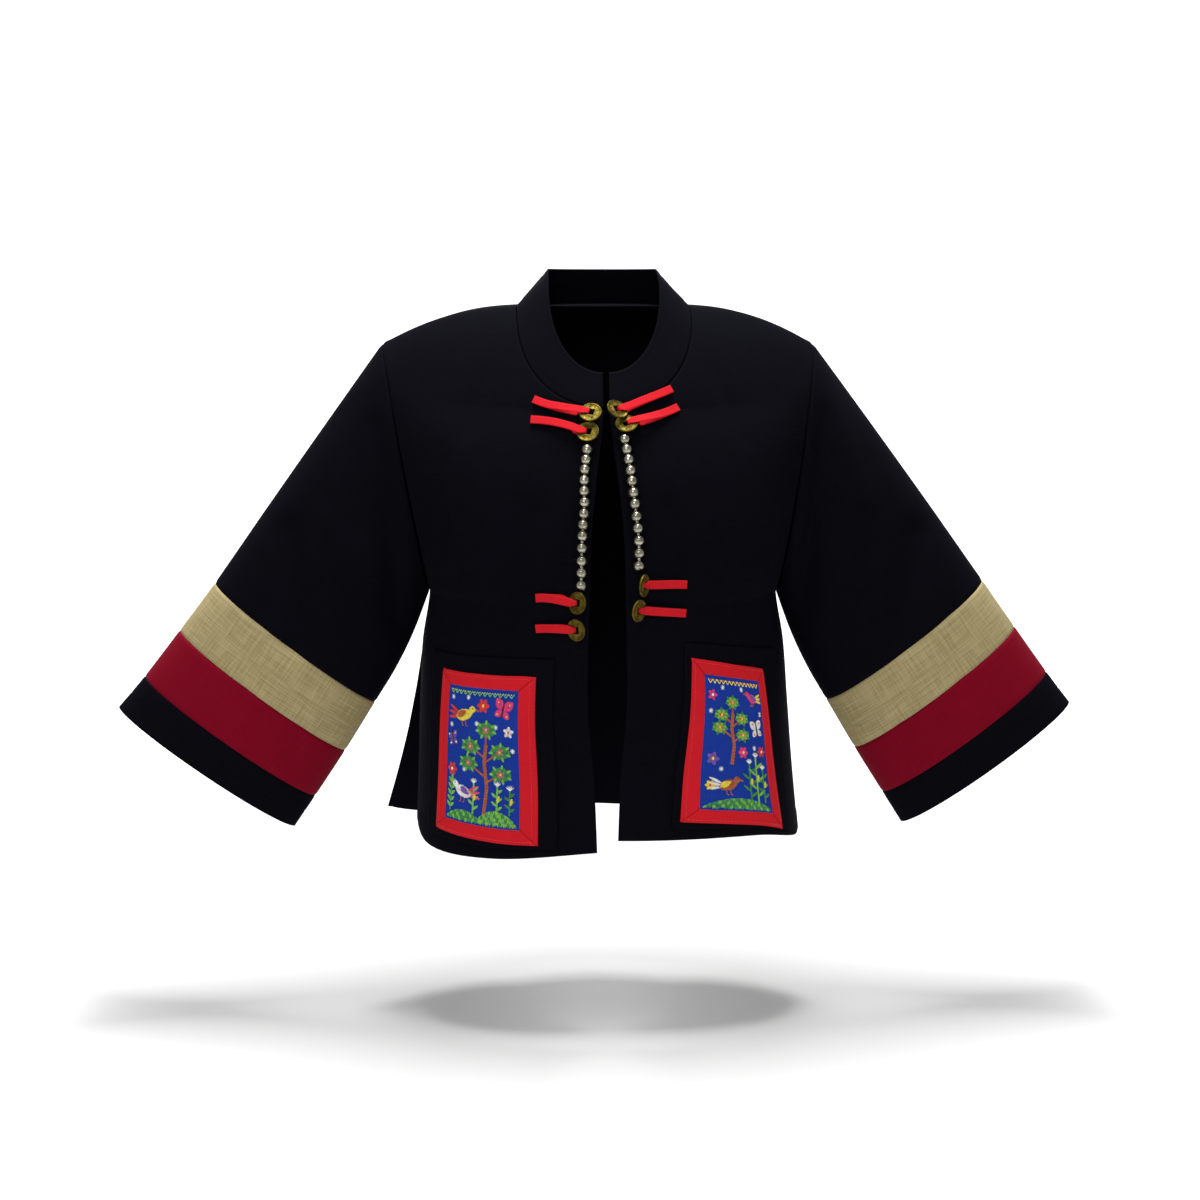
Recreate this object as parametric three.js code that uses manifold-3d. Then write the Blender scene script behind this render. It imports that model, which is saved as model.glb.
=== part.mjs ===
// Cropped open-front jacket with a stand collar, wide banded sleeves, side slits, two patch
// pockets with framed panels, eight coin closures on cloth loops and two strands of beads.
// Millimetres, +Z up. X runs to the viewer's right and the front faces -Y. The origin is at the
// base of the neck, midway between the shoulders, where the wearer holds the jacket up.
import * as THREE from 'three';
import { mergeVertices } from 'three/addons/utils/BufferGeometryUtils.js';
import Module from 'manifold-3d';

const wasm = await Module();
wasm.setup();

// ---------------------------------------------------------------- driving sizes

const CLOTH = 1.8;
const SEAM_GAP = 0.34;
const STEP = 1e-3;

const SIDES = [
  { name: 'left', sign: -1, shoulderOut: 4, sleeveReach: 1.012, hemOut: -6, flareOut: 34, flareBack: 40 },
  { name: 'right', sign: 1, shoulderOut: -6, sleeveReach: 0.988, hemOut: 4, flareOut: 0, flareBack: 34 },
];

// Each face of the body: how far the neckline reaches from the shoulder line and drops, how deep
// the armhole is, and the share of the armhole's height at which the neckline ends.
const FRONT = { name: 'front', sign: -1, neckReach: 98, neckDrop: 101, armDepth: 66, neckEnd: 0.33 };
const BACK = { name: 'back', sign: 1, neckReach: 72, neckDrop: -3, armDepth: 62, neckEnd: 0.2475 };

const NECK = { halfWidth: 89, z: 4, squareness: 5 };
const COLLAR = { halfWidth: 57, z: 36, frontReach: 80, backReach: 59, frontDrop: 98, backRise: 6 };
const ARMHOLE = { topX: 222, topZ: -35, bottomX: 179, bottomZ: -288 };
const HEM_Z = -535;
const SLIT = { topZ: -345, frontGap: 13 };

// Level sections of the body: depth of the front and back from the side seam, half width at the
// side seam, and half of the gap between the fronts.
const BODY_SECTIONS = [
  { z: 10, front: 40, back: 70, half: 179, gap: 3 },
  { z: -40, front: 70, back: 91, half: 179, gap: 3 },
  { z: -97, front: 98, back: 104, half: 179, gap: 3 },
  { z: -130, front: 113, back: 110, half: 179, gap: 6 },
  { z: -170, front: 126, back: 113, half: 179, gap: 11 },
  { z: -220, front: 133, back: 114, half: 179, gap: 16 },
  { z: -288, front: 132, back: 111, half: 179, gap: 18 },
  { z: -340, front: 129, back: 108, half: 187, gap: 19 },
  { z: -400, front: 128, back: 110, half: 191, gap: 19 },
  { z: -470, front: 130, back: 116, half: 195, gap: 13 },
  { z: -545, front: 134, back: 124, half: 200, gap: 10 },
];

// Sections across the sleeve: its outer and inner lines seen from the front, and its depth
// before and behind them. Seams fall on whole steps.
const SLEEVE_SECTIONS = [
  { at: 0, outX: 222, outZ: -35, inX: 179, inZ: -288, front: 66, back: 62 },
  { at: 1, outX: 281, outZ: -116, inX: 196, inZ: -333, front: 63, back: 58 },
  { at: 2, outX: 340, outZ: -198, inX: 214, inZ: -370, front: 59, back: 54 },
  { at: 3, outX: 398, outZ: -280, inX: 235, inZ: -405, front: 55, back: 50 },
  { at: 4, outX: 434, outZ: -329, inX: 266, inZ: -456, front: 52, back: 47 },
  { at: 5, outX: 470, outZ: -377, inX: 297, inZ: -504, front: 49, back: 45 },
  { at: 6, outX: 496, outZ: -409, inX: 318, inZ: -536, front: 46, back: 43 },
];
const SLEEVE_CLEARANCE = 0.45;

// Height of the hem from the free front edge to the side slit.
const HEM = {
  front_left: [{ s: 0, z: -538 }, { s: 0.35, z: -547 }, { s: 0.75, z: -543 }, { s: 1, z: -522 }],
  front_right: [{ s: 0, z: -526 }, { s: 0.5, z: -529 }, { s: 0.85, z: -541 }, { s: 1, z: -537 }],
  back_left: [{ s: 0, z: -541 }, { s: 0.5, z: -541 }, { s: 1, z: -524 }],
  back_right: [{ s: 0, z: -541 }, { s: 0.5, z: -540 }, { s: 1, z: -522 }],
};

// The largest folds: a line seen from the front, with its width and its depth into the cloth.
const FOLDS = [
  { face: 'front', x0: -223, z0: -118, x1: -212, z1: -318, width: 13, depth: 9 },
  { face: 'front', x0: -258, z0: -95, x1: -250, z1: -215, width: 16, depth: 5 },
  { face: 'front', x0: -318, z0: -225, x1: -312, z1: -335, width: 17, depth: 6 },
  { face: 'front', x0: 214, z0: -110, x1: 206, z1: -300, width: 14, depth: 10 },
  { face: 'front', x0: 222, z0: -70, x1: 262, z1: -190, width: 15, depth: -5 },
  { face: 'front', x0: 318, z0: -230, x1: 300, z1: -330, width: 18, depth: 6 },
  { face: 'front', x0: 60, z0: -196, x1: 64, z1: -250, width: 15, depth: 3 },
  { face: 'front', x0: -74, z0: -200, x1: -82, z1: -350, width: 16, depth: 4 },
  { face: 'front', x0: -150, z0: -290, x1: -128, z1: -420, width: 20, depth: -4 },
  { face: 'front', x0: 152, z0: -280, x1: 132, z1: -330, width: 18, depth: -4 },
  { face: 'back', x0: -222, z0: -115, x1: -208, z1: -310, width: 15, depth: 9 },
  { face: 'back', x0: 222, z0: -120, x1: 210, z1: -315, width: 15, depth: 9 },
  { face: 'back', x0: -305, z0: -205, x1: -290, z1: -330, width: 18, depth: 6 },
  { face: 'back', x0: 300, z0: -190, x1: 296, z1: -320, width: 18, depth: 6 },
  { face: 'back', x0: -70, z0: -330, x1: -84, z1: -560, width: 22, depth: 7 },
  { face: 'back', x0: 58, z0: -300, x1: 72, z1: -560, width: 24, depth: 8 },
  { face: 'back', x0: -10, z0: -400, x1: -6, z1: -560, width: 18, depth: -5 },
  { face: 'back', x0: 118, z0: -110, x1: 92, z1: -220, width: 20, depth: 5 },
  { face: 'back', x0: -112, z0: -120, x1: -94, z1: -230, width: 20, depth: 5 },
];

// Pocket panels by their outer corners, and the black pocket under each.
const PANELS = {
  left: { topIn: [-70, -362], topOut: [-161, -358], lowIn: [-69, -531], lowOut: [-170, -522] },
  right: { topIn: [83, -343], topOut: [156, -360], lowIn: [72, -508], lowOut: [179, -528] },
};
const POCKETS = {
  left: { topIn: [-52, -344], topOut: [-172, -342], lowIn: [-50, -535], lowOut: [-180, -526] },
  right: { topIn: [76, -328], topOut: [170, -342], lowIn: [64, -515], lowOut: [189, -532] },
};
const POCKET_LIFT = 0.9;
const POCKET_CLOTH = 1.2;
const PANEL_CLOTH = 1.1;
const BORDER_CLOTH = 1.4;
const BORDER_SHARE = { across: 0.145, down: 0.092 };

// Cloth loops: where the outer end is sewn down and where the coin's centre is, seen from the
// front, how far the loop sags between them, and how the coin tips from the cloth.
const LOOPS = [
  { name: 'upper_left_1', side: 'left', end: [-72, -89], coin: [-16, -104], sag: 2, tip: 10, roll: 14 },
  { name: 'upper_left_2', side: 'left', end: [-75, -109], coin: [-19, -122], sag: -3, tip: 12, roll: 8 },
  { name: 'upper_right_1', side: 'right', end: [65, -79], coin: [10, -102], sag: 0, tip: 30, roll: 8 },
  { name: 'upper_right_2', side: 'right', end: [71, -97], coin: [19, -115], sag: 2, tip: 4, roll: 22 },
  { name: 'lower_left_1', side: 'left', end: [-70, -282], coin: [-30, -285], sag: -2, tip: 42, roll: 8 },
  { name: 'lower_left_2', side: 'left', end: [-70, -313], coin: [-31, -312], sag: -1, tip: 40, roll: 0 },
  { name: 'lower_right_1', side: 'right', end: [78, -269], coin: [35, -268], sag: 0, tip: 62, roll: 0 },
  { name: 'lower_right_2', side: 'right', end: [77, -298], coin: [30, -293], sag: 0, tip: 50, roll: 0 },
];
const LOOP = { width: 8.4, throat: 5.4, thick: 0.9, low: 1.4, high: 2.9, steps: 5 };
const COIN = { radius: 11, hole: 3.6, thick: 1.3, rim: 1.5, rimThick: 1.8, sides: 14 };
const COIN_CLEARANCE = 3.6;

// Bead strands: a few points that each hangs through, seen from the front.
const STRANDS = [
  {
    name: 'left',
    count: 13,
    route: [[-20, -139], [-23, -166], [-23, -196], [-25, -231], [-26, -268]],
  },
  {
    name: 'right',
    count: 12,
    route: [[17, -129], [22, -157], [26, -188], [30, -224], [30, -249]],
  },
];
const BEAD = { radius: 5.3, thread: 0.9, lift: 7.2, across: 6, down: 4, crowding: 60 };

// Rows of the body from the shoulder seam (0) by the armpit (1) to the hem (2), and columns from
// the middle (0) to the armhole or side seam (1).
const ARMHOLE_ROWS = [0, 0.0825, 0.165, 0.2475, 0.297, 0.33, 0.42, 0.52, 0.63, 0.75, 0.88, 1];
const LOWER_ROWS = [1, 1.11, 1.23, 1.37, 1.52, 1.68, 1.84, 2];
const BODY_COLUMNS = [0, 0.11, 0.22, 0.33, 0.44, 0.55, 0.66, 0.77, 0.88, 1];
const BACK_COLUMNS = [0, 0.14, 0.28, 0.42, 0.56, 0.7, 0.85, 1];

// ---------------------------------------------------------------- finishes

const FINISH = {
  black: { color: 0x0d0d14, roughness: 0.85, metalness: 0 },
  beige: { color: 0xa4976b, roughness: 0.9, metalness: 0 },
  crimson: { color: 0x7c0420, roughness: 0.8, metalness: 0 },
  red: { color: 0xc81622, roughness: 0.75, metalness: 0 },
  blue: { color: 0x1a3a9c, roughness: 0.75, metalness: 0 },
  brass: { color: 0x8a7a32, roughness: 0.45, metalness: 0.9 },
  silver: { color: 0xd0d0cc, roughness: 0.25, metalness: 1 },
};

// ---------------------------------------------------------------- small mathematics

const clamp = (x, low = 0, high = 1) => Math.min(high, Math.max(low, x));
const lerp = (a, b, t) => a + (b - a) * t;
const vec = (x, y, z) => new THREE.Vector3(x, y, z);

function smooth(from, to, x) {
  const t = clamp((x - from) / (to - from));
  return t * t * (3 - 2 * t);
}

// A smooth curve through one column of a table, whose key column rises or falls steadily.
function along(rows, key, x, column) {
  const rising = rows[1][key] > rows[0][key] ? 1 : -1;
  let i = 0;
  while (i < rows.length - 2 && rising * (x - rows[i + 1][key]) > 0) i += 1;
  const slope = (a, b) => (rows[b][column] - rows[a][column]) / (rows[b][key] - rows[a][key]);
  const here = i > 0 ? slope(i - 1, i + 1) : slope(0, 1);
  const next = i < rows.length - 2 ? slope(i, i + 2) : slope(i, i + 1);
  const span = rows[i + 1][key] - rows[i][key];
  const t = clamp((x - rows[i][key]) / span);
  const t2 = t * t;
  const t3 = t2 * t;
  return (
    rows[i][column] * (2 * t3 - 3 * t2 + 1) +
    here * span * (t3 - 2 * t2 + t) +
    rows[i + 1][column] * (3 * t2 - 2 * t3) +
    next * span * (t3 - t2)
  );
}

// The place between low and high where a test turns from true to false.
function bisect(test, low, high) {
  let [from, to] = [low, high];
  for (let k = 0; k < 20; k += 1) {
    const middle = (from + to) / 2;
    if (test(middle)) from = middle;
    else to = middle;
  }
  return (from + to) / 2;
}

// How far the folds push the cloth in at a place seen from the front.
function foldDepth(face, x, z) {
  let depth = 0;
  for (const fold of FOLDS.filter((row) => row.face === face.name)) {
    const dx = fold.x1 - fold.x0;
    const dz = fold.z1 - fold.z0;
    const t = clamp(((x - fold.x0) * dx + (z - fold.z0) * dz) / (dx * dx + dz * dz));
    const off = Math.hypot(x - fold.x0 - t * dx, z - fold.z0 - t * dz);
    depth += fold.depth * Math.exp(-((off / fold.width) ** 2));
  }
  return depth;
}

// ---------------------------------------------------------------- the jacket's surfaces

function armholeZ(v) {
  return lerp(ARMHOLE.bottomZ, ARMHOLE.topZ, (1 + Math.cos(Math.PI * v)) / 2);
}

function armholePoint(side, face, v) {
  const share = (1 + Math.cos(Math.PI * v)) / 2;
  const x = side.sign * lerp(ARMHOLE.bottomX, ARMHOLE.topX + side.shoulderOut, share);
  return vec(x, face.sign * face.armDepth * Math.sin(Math.PI * v), armholeZ(v));
}

// The seam of the collar, from the shoulder (0) to the middle of the front or back (1).
function neckPoint(side, face, t) {
  const u = Math.sin((t * Math.PI) / 2);
  const middle = face === FRONT ? along(BODY_SECTIONS, 'z', NECK.z - FRONT.neckDrop, 'gap') : 0;
  const x = middle + (NECK.halfWidth - middle) * Math.sqrt(Math.max(0, 1 - u ** NECK.squareness));
  return vec(side.sign * x, face.sign * face.neckReach * u, NECK.z - face.neckDrop * u * u);
}

function collarTopPoint(side, face, t) {
  const u = Math.sin((t * Math.PI) / 2);
  const middle = face === FRONT ? along(BODY_SECTIONS, 'z', NECK.z - FRONT.neckDrop, 'gap') : 0;
  const x = middle + (COLLAR.halfWidth - middle) * Math.sqrt(Math.max(0, 1 - u ** NECK.squareness));
  const reach = face === FRONT ? COLLAR.frontReach : COLLAR.backReach;
  const rise = face === FRONT ? -COLLAR.frontDrop * u * u : COLLAR.backRise * smooth(0, 0.6, u);
  return vec(side.sign * x, face.sign * reach * u, COLLAR.z + rise);
}

// The nominal height of a row at the middle of the front or back.
function rowZ(face, v) {
  if (v >= 1) return lerp(ARMHOLE.bottomZ, HEM_Z, v - 1);
  if (face === FRONT) return armholeZ(v);
  const t = (v - face.neckEnd) / (1 - face.neckEnd);
  return lerp(NECK.z - face.neckDrop, ARMHOLE.bottomZ, t);
}

function rowStart(side, face, v) {
  if (v <= face.neckEnd) return neckPoint(side, face, v / face.neckEnd);
  const z = rowZ(face, v);
  const gap = face === FRONT ? along(BODY_SECTIONS, 'z', z, 'gap') : 0;
  return vec(side.sign * gap, face.sign * along(BODY_SECTIONS, 'z', z, face.name), z);
}

function rowEnd(side, face, v) {
  if (v <= 1) return armholePoint(side, face, v);
  const z = rowZ(face, v);
  return vec(side.sign * along(BODY_SECTIONS, 'z', z, 'half'), 0, z);
}

// A point of a front or half of the back: s runs from the middle to the side, v from the
// shoulder seam to the hem.
function bodyPoint(side, face, s, v) {
  const start = rowStart(side, face, v);
  const end = rowEnd(side, face, v);
  const chord = end.clone().sub(start);
  const full = smooth(0, 0.45, v);
  const depth = along(BODY_SECTIONS, 'z', Math.min(start.z, -40), face.name);
  const turn = (Math.PI / 2) * Math.min(1, v) ** 0.8;
  const reachOut = vec(0.6 * end.x, 0, 0);
  const reachIn = vec(side.sign * Math.cos(turn), -face.sign * Math.sin(turn), 0);
  reachIn.multiplyScalar(depth * lerp(0.35, 0.62, Math.min(1, v)));
  const first = start.clone().add(chord.clone().divideScalar(3).lerp(reachOut, full));
  const second = end.clone().sub(chord.clone().divideScalar(3).lerp(reachIn, full));
  first.z = start.z;
  second.z = start.z + chord.z / 3;
  const r = 1 - s;
  const point = start.multiplyScalar(r * r * r);
  point.addScaledVector(first, 3 * r * r * s);
  point.addScaledVector(second, 3 * r * s * s);
  point.addScaledVector(end, s * s * s);

  const low = Math.max(0, v - 1);
  const hem = along(HEM[`${face.name}_${side.name}`], 's', s, 'z');
  const open = clamp((SLIT.topZ - point.z) / (SLIT.topZ - HEM_Z)) ** 1.3;
  point.z += (hem - HEM_Z) * low * low;
  point.x += side.sign * side.hemOut * s * low * low;
  if (face === FRONT) {
    point.y -= SLIT.frontGap * open * s ** 6;
  } else {
    point.x += side.sign * side.flareOut * open * s ** 4;
    point.y += side.flareBack * open * s ** 6;
  }
  const seamFade = smooth(0, 0.12, v) * (1 - smooth(0.86, 1, s));
  point.y -= face.sign * foldDepth(face, point.x, point.z) * seamFade;
  return point;
}

// A point of the sleeve: turn runs round it, 0 on its outer line, half a turn on its inner line.
function sleevePoint(side, at, turn) {
  const row = (column) => along(SLEEVE_SECTIONS, 'at', at, column);
  const share = (1 + Math.cos(turn)) / 2;
  const reach = lerp(1, side.sleeveReach, at / 6);
  const outX = row('outX') + side.shoulderOut * clamp(1 - at / 3);
  const x = side.sign * (lerp(row('inX'), outX, share) * reach + SLEEVE_CLEARANCE);
  const z = lerp(row('inZ'), row('outZ'), share);
  const face = turn >= 0 ? FRONT : BACK;
  const y = face.sign * row(face.name) * Math.abs(Math.sin(turn));
  const fade = smooth(0, 0.5, at) * smooth(0, 0.6, Math.abs(Math.sin(turn)));
  return vec(x, y - face.sign * foldDepth(face, x, z) * fade, z);
}

function collarPoint(side, face, height, t) {
  const low = neckPoint(side, face, t);
  return low.lerp(collarTopPoint(side, face, t), height);
}

// ---------------------------------------------------------------- walls of cloth

// The outward normal of a surface at (a, b), by small steps that stay inside its domain.
function normalAt(surface, a, b, domain) {
  const [a0, a1, b0, b1] = domain;
  const alongA = surface(Math.min(a + STEP, a1), b).sub(surface(Math.max(a - STEP, a0), b));
  const alongB = surface(a, Math.min(b + STEP, b1)).sub(surface(a, Math.max(b - STEP, b0)));
  return alongA.cross(alongB).normalize();
}

// A grid of points with outward normals. flip turns them to the other side of the surface.
function gridOf(surface, as, bs, domain, flip, edit) {
  return as.map((a) =>
    bs.map((b) => {
      const normal = normalAt(surface, a, b, domain).multiplyScalar(flip ? -1 : 1);
      const node = { point: surface(a, b), normal, inset: null };
      if (edit) edit(node, a, b);
      return node;
    }),
  );
}

// One closed wall from grids that share edges: its free edges are drawn in by half a seam gap,
// its outer face is moved out by lift and its inner face lies a thickness below that.
function wall(grids, thickness = CLOTH, lift = 0) {
  const nodes = [];
  const found = new Map();
  const faces = [];
  const number = (node) => {
    const key = node.point.toArray().map((value) => Math.round(value * 500)).join(' ');
    if (!found.has(key)) {
      found.set(key, nodes.length);
      nodes.push({ point: node.point, normal: node.normal.clone(), inset: node.inset });
    } else {
      nodes[found.get(key)].normal.add(node.normal).normalize();
    }
    return found.get(key);
  };
  const facing = ([a, b, c]) => {
    const [p, q, r] = [a, b, c].map((index) => nodes[index]);
    const face = q.point.clone().sub(p.point).cross(r.point.clone().sub(p.point));
    return face.dot(p.normal) + face.dot(q.normal) + face.dot(r.normal);
  };
  for (const grid of grids) {
    const numbers = grid.map((row) => row.map(number));
    const own = [];
    for (let i = 0; i + 1 < numbers.length; i += 1) {
      for (let j = 0; j + 1 < numbers[i].length; j += 1) {
        const [a, b] = [numbers[i][j], numbers[i + 1][j]];
        const [c, d] = [numbers[i + 1][j + 1], numbers[i][j + 1]];
        own.push([a, b, c], [a, c, d]);
      }
    }
    const outward = own.reduce((sum, face) => sum + facing(face), 0) > 0;
    faces.push(...own.map(([a, b, c]) => (outward ? [a, b, c] : [a, c, b])));
  }

  const edges = new Map();
  for (const face of faces) {
    face.forEach((from, k) => edges.set(`${from} ${face[(k + 1) % 3]}`, [from, face[(k + 1) % 3]]));
  }
  const rim = [...edges.values()].filter(([from, to]) => !edges.has(`${to} ${from}`));
  const pulls = new Map();
  for (const [from, to] of rim) {
    for (const index of [from, to]) {
      const run = nodes[to].point.clone().sub(nodes[from].point);
      const pull = nodes[index].normal.clone().cross(run).normalize();
      pulls.set(index, [...(pulls.get(index) ?? []), pull]);
    }
  }
  const drawn = nodes.map((node, index) => {
    const pair = pulls.get(index);
    if (!pair) return node.point.clone();
    const pull = pair[0].clone().add(pair[1]);
    const scale = SEAM_GAP / Math.max(pull.lengthSq(), 1);
    return node.point.clone().addScaledVector(pull, scale);
  });

  const positions = [];
  nodes.forEach((node, index) => {
    positions.push(...drawn[index].clone().addScaledVector(node.normal, lift).toArray());
  });
  nodes.forEach((node, index) => {
    const inset = node.inset ?? node.normal.clone().multiplyScalar(thickness);
    const inner = drawn[index].clone().addScaledVector(node.normal, lift).sub(inset);
    positions.push(...inner.toArray());
  });
  const shift = nodes.length;
  const index = [];
  for (const [a, b, c] of faces) index.push(a, b, c, a + shift, c + shift, b + shift);
  for (const [from, to] of rim) index.push(to, from, from + shift, to, from + shift, to + shift);
  const geometry = new THREE.BufferGeometry();
  geometry.setAttribute('position', new THREE.Float32BufferAttribute(positions, 3));
  geometry.setIndex(index);
  return geometry;
}

// ---------------------------------------------------------------- body, sleeves and collar

function outwardFlip(side, face) {
  return side.sign * face.sign < 0;
}

const BODY_DOMAIN = [0, 1, 0, 2];

function bodyNormal(side, face, s, v) {
  const surface = (a, b) => bodyPoint(side, face, a, b);
  const normal = normalAt(surface, s, v, BODY_DOMAIN);
  if (outwardFlip(side, face)) normal.negate();
  if (v === 0) normal.setY(0).normalize();
  return normal;
}

const SLEEVE_DOMAIN = [0, 6, -Math.PI, Math.PI];

function sleeveNormal(side, at, turn) {
  const surface = (a, b) => sleevePoint(side, a, b);
  const inside = clamp(turn, STEP - Math.PI, Math.PI - STEP);
  const normal = normalAt(surface, at, inside, SLEEVE_DOMAIN);
  if (side.sign > 0) normal.negate();
  if (Math.abs(Math.sin(turn)) < STEP) normal.setY(0).normalize();
  return normal;
}

// Over the shoulder the sleeve bends down from the body, so both walls are cut on one bevel.
function shoulderBevel(side, face, v) {
  const body = bodyNormal(side, face, 1, v);
  const sleeve = sleeveNormal(side, 0, -face.sign * Math.PI * v);
  const outward = bodyPoint(side, face, 1, v).sub(bodyPoint(side, face, 1 - STEP, v));
  if (outward.dot(sleeve) <= 0) return null;
  const middle = body.clone().add(sleeve).normalize();
  return middle.multiplyScalar(CLOTH / middle.dot(body));
}

function bodyGrid(side, face, columns) {
  const surface = (s, v) => bodyPoint(side, face, s, v);
  const rows = [...ARMHOLE_ROWS, ...LOWER_ROWS.slice(1)];
  return gridOf(surface, columns, rows, BODY_DOMAIN, outwardFlip(side, face), (node, s, v) => {
    node.normal.copy(bodyNormal(side, face, s, v));
    if (face === BACK && s === 0 && v >= BACK.neckEnd) node.normal.setX(0).normalize();
    if (s === 1 && v < 1) node.inset = shoulderBevel(side, face, v);
  });
}

function sleeveGrid(side, steps) {
  const back = [...ARMHOLE_ROWS].reverse().map((v) => -Math.PI * v);
  const turns = [...back, ...ARMHOLE_ROWS.slice(1).map((v) => Math.PI * v)];
  const surface = (at, turn) => sleevePoint(side, at, turn);
  return gridOf(surface, steps, turns, SLEEVE_DOMAIN, side.sign > 0, (node, at, turn) => {
    node.normal.copy(sleeveNormal(side, at, turn));
    const face = turn >= 0 ? FRONT : BACK;
    const v = Math.abs(turn) / Math.PI;
    if (at === 0 && v < 1) node.inset = shoulderBevel(side, face, v);
  });
}

function collarGrid(side, face) {
  const surface = (height, t) => collarPoint(side, face, height, t);
  const rows = ARMHOLE_ROWS.filter((v) => v <= face.neckEnd).map((v) => v / face.neckEnd);
  const domain = [0, 1, 0, 0.9999];
  return gridOf(surface, [0, 0.5, 1], rows, domain, !outwardFlip(side, face), (node, height, t) => {
    if (t === 0) node.normal.setY(0).normalize();
    if (t === 1) node.normal.setX(0).normalize();
  });
}

// ---------------------------------------------------------------- what lies on the fronts

// The place on a front that is seen at (x, z), raised off the cloth, with the cloth's normal.
function onFront(side, x, z, height = 0) {
  const columnAt = (v) => bisect((s) => Math.abs(bodyPoint(side, FRONT, s, v).x) < Math.abs(x), 0, 1);
  const v = bisect((row) => bodyPoint(side, FRONT, columnAt(row), row).z > z, 0.02, 2);
  const s = columnAt(v);
  const normal = bodyNormal(side, FRONT, s, v);
  const edge = bodyPoint(side, FRONT, s, v);
  const point = vec(x, edge.y, edge.z).addScaledVector(normal, height);
  return { point, normal, s, v };
}

// A piece on a front between four corners, given as shares across and down.
function laidGrid(side, corners, across, down) {
  const place = (corner) => onFront(side, corners[corner][0], corners[corner][1]);
  const [topIn, topOut, lowIn, lowOut] = ['topIn', 'topOut', 'lowIn', 'lowOut'].map(place);
  const share = (key, a, b) =>
    lerp(lerp(topIn[key], topOut[key], a), lerp(lowIn[key], lowOut[key], a), b);
  const surface = (a, b) => bodyPoint(side, FRONT, share('s', a, b), share('v', a, b));
  return down.map((b, i) => {
    const row = Array.isArray(across[0]) ? across[i] : across;
    return row.map((a) => {
      const normal = normalAt(surface, a, b, [-1, 2, -1, 2]);
      if (side.sign > 0) normal.negate();
      return { point: surface(a, b), normal, inset: null };
    });
  });
}

const evenly = (from, to, steps) =>
  Array.from({ length: steps + 1 }, (unused, k) => lerp(from, to, k / steps));

// Each border strip has slanted ends, so that two of them meet in a mitre at every corner.
function borderGrids(side) {
  const { across, down } = BORDER_SHARE;
  const corners = PANELS[side.name];
  const strip = (from, to, steps, place) => {
    const rows = evenly(0, 1, 1).map((deep) =>
      evenly(0, 1, steps).map((t) => {
        const inset = from * deep;
        return place(lerp(inset, 1 - inset, t), to * deep);
      }),
    );
    return rows;
  };
  const point = (a, b) => laidGrid(side, corners, [a], [b])[0][0];
  return {
    top: strip(across, down, 7, (t, deep) => point(t, deep)),
    low: strip(across, down, 7, (t, deep) => point(t, 1 - deep)),
    inner: strip(down, across, 8, (t, deep) => point(deep, t)),
    outer: strip(down, across, 8, (t, deep) => point(1 - deep, t)),
  };
}

// ---------------------------------------------------------------- loops, coins and beads

// The frame at a loop's coin: along the loop, across it and out of the coin's face.
function loopFrame(loop) {
  const side = SIDES.find((row) => row.name === loop.side);
  const seat = onFront(side, ...loop.coin);
  const sewn = onFront(side, ...loop.end);
  const run = seat.point.clone().sub(sewn.point);
  const outward = seat.normal.clone();
  const forward = run.clone().addScaledVector(outward, -run.dot(outward)).normalize();
  const across = outward.clone().cross(forward).normalize();
  const roll = THREE.MathUtils.degToRad(loop.roll) * side.sign;
  across.applyAxisAngle(forward, roll);
  outward.applyAxisAngle(forward, roll);
  const tip = THREE.MathUtils.degToRad(loop.tip);
  const rise = COIN_CLEARANCE + COIN.radius * (Math.sin(tip) + Math.abs(Math.sin(roll)));
  const centre = seat.point.clone().addScaledVector(seat.normal, rise);
  const face = outward.clone().applyAxisAngle(across, -tip);
  const down = forward.clone().applyAxisAngle(across, -tip);
  return { side, sewn, seat, centre, across, face, down };
}

function coinGeometry() {
  const flat = (points, hole, thick) => {
    const shape = new THREE.Shape(points.map(([x, y]) => new THREE.Vector2(x, y)));
    if (hole) shape.holes.push(new THREE.Path(hole.map(([x, y]) => new THREE.Vector2(x, y))));
    const geometry = new THREE.ExtrudeGeometry(shape, { depth: thick, bevelEnabled: false });
    return solidOf(geometry.translate(0, 0, -thick / 2));
  };
  const round = (radius) =>
    evenly(0, COIN.sides, COIN.sides)
      .slice(0, -1)
      .map((k) => [Math.cos, Math.sin].map((f) => radius * f((2 * Math.PI * k) / COIN.sides)));
  const square = (half) => [[-half, -half], [half, -half], [half, half], [-half, half]];
  const disc = flat(round(COIN.radius), square(COIN.hole), COIN.thick);
  const rim = flat(round(COIN.radius), round(COIN.radius - COIN.rim), COIN.rimThick);
  const lip = flat(square(COIN.hole + COIN.rim * 0.7), square(COIN.hole), COIN.rimThick);
  return geometryOf(disc.add(rim).add(lip));
}

// A strip with four corners to each section, from a list of centres, widths and directions.
function stripGeometry(sections) {
  const positions = [];
  for (const { centre, across, up, width } of sections) {
    for (const [a, b] of [[-1, -1], [1, -1], [1, 1], [-1, 1]]) {
      const corner = centre.clone().addScaledVector(across, (a * width) / 2);
      positions.push(...corner.addScaledVector(up, (b * LOOP.thick) / 2).toArray());
    }
  }
  const index = [];
  for (let k = 0; k + 1 < sections.length; k += 1) {
    for (let c = 0; c < 4; c += 1) {
      const [a, b] = [4 * k + c, 4 * k + ((c + 1) % 4)];
      index.push(a, b, b + 4, a, b + 4, a + 4);
    }
  }
  const last = 4 * (sections.length - 1);
  index.push(0, 2, 1, 0, 3, 2, last, last + 1, last + 2, last, last + 2, last + 3);
  const geometry = new THREE.BufferGeometry();
  geometry.setAttribute('position', new THREE.Float32BufferAttribute(positions, 3));
  geometry.setIndex(index);
  return geometry;
}

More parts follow.
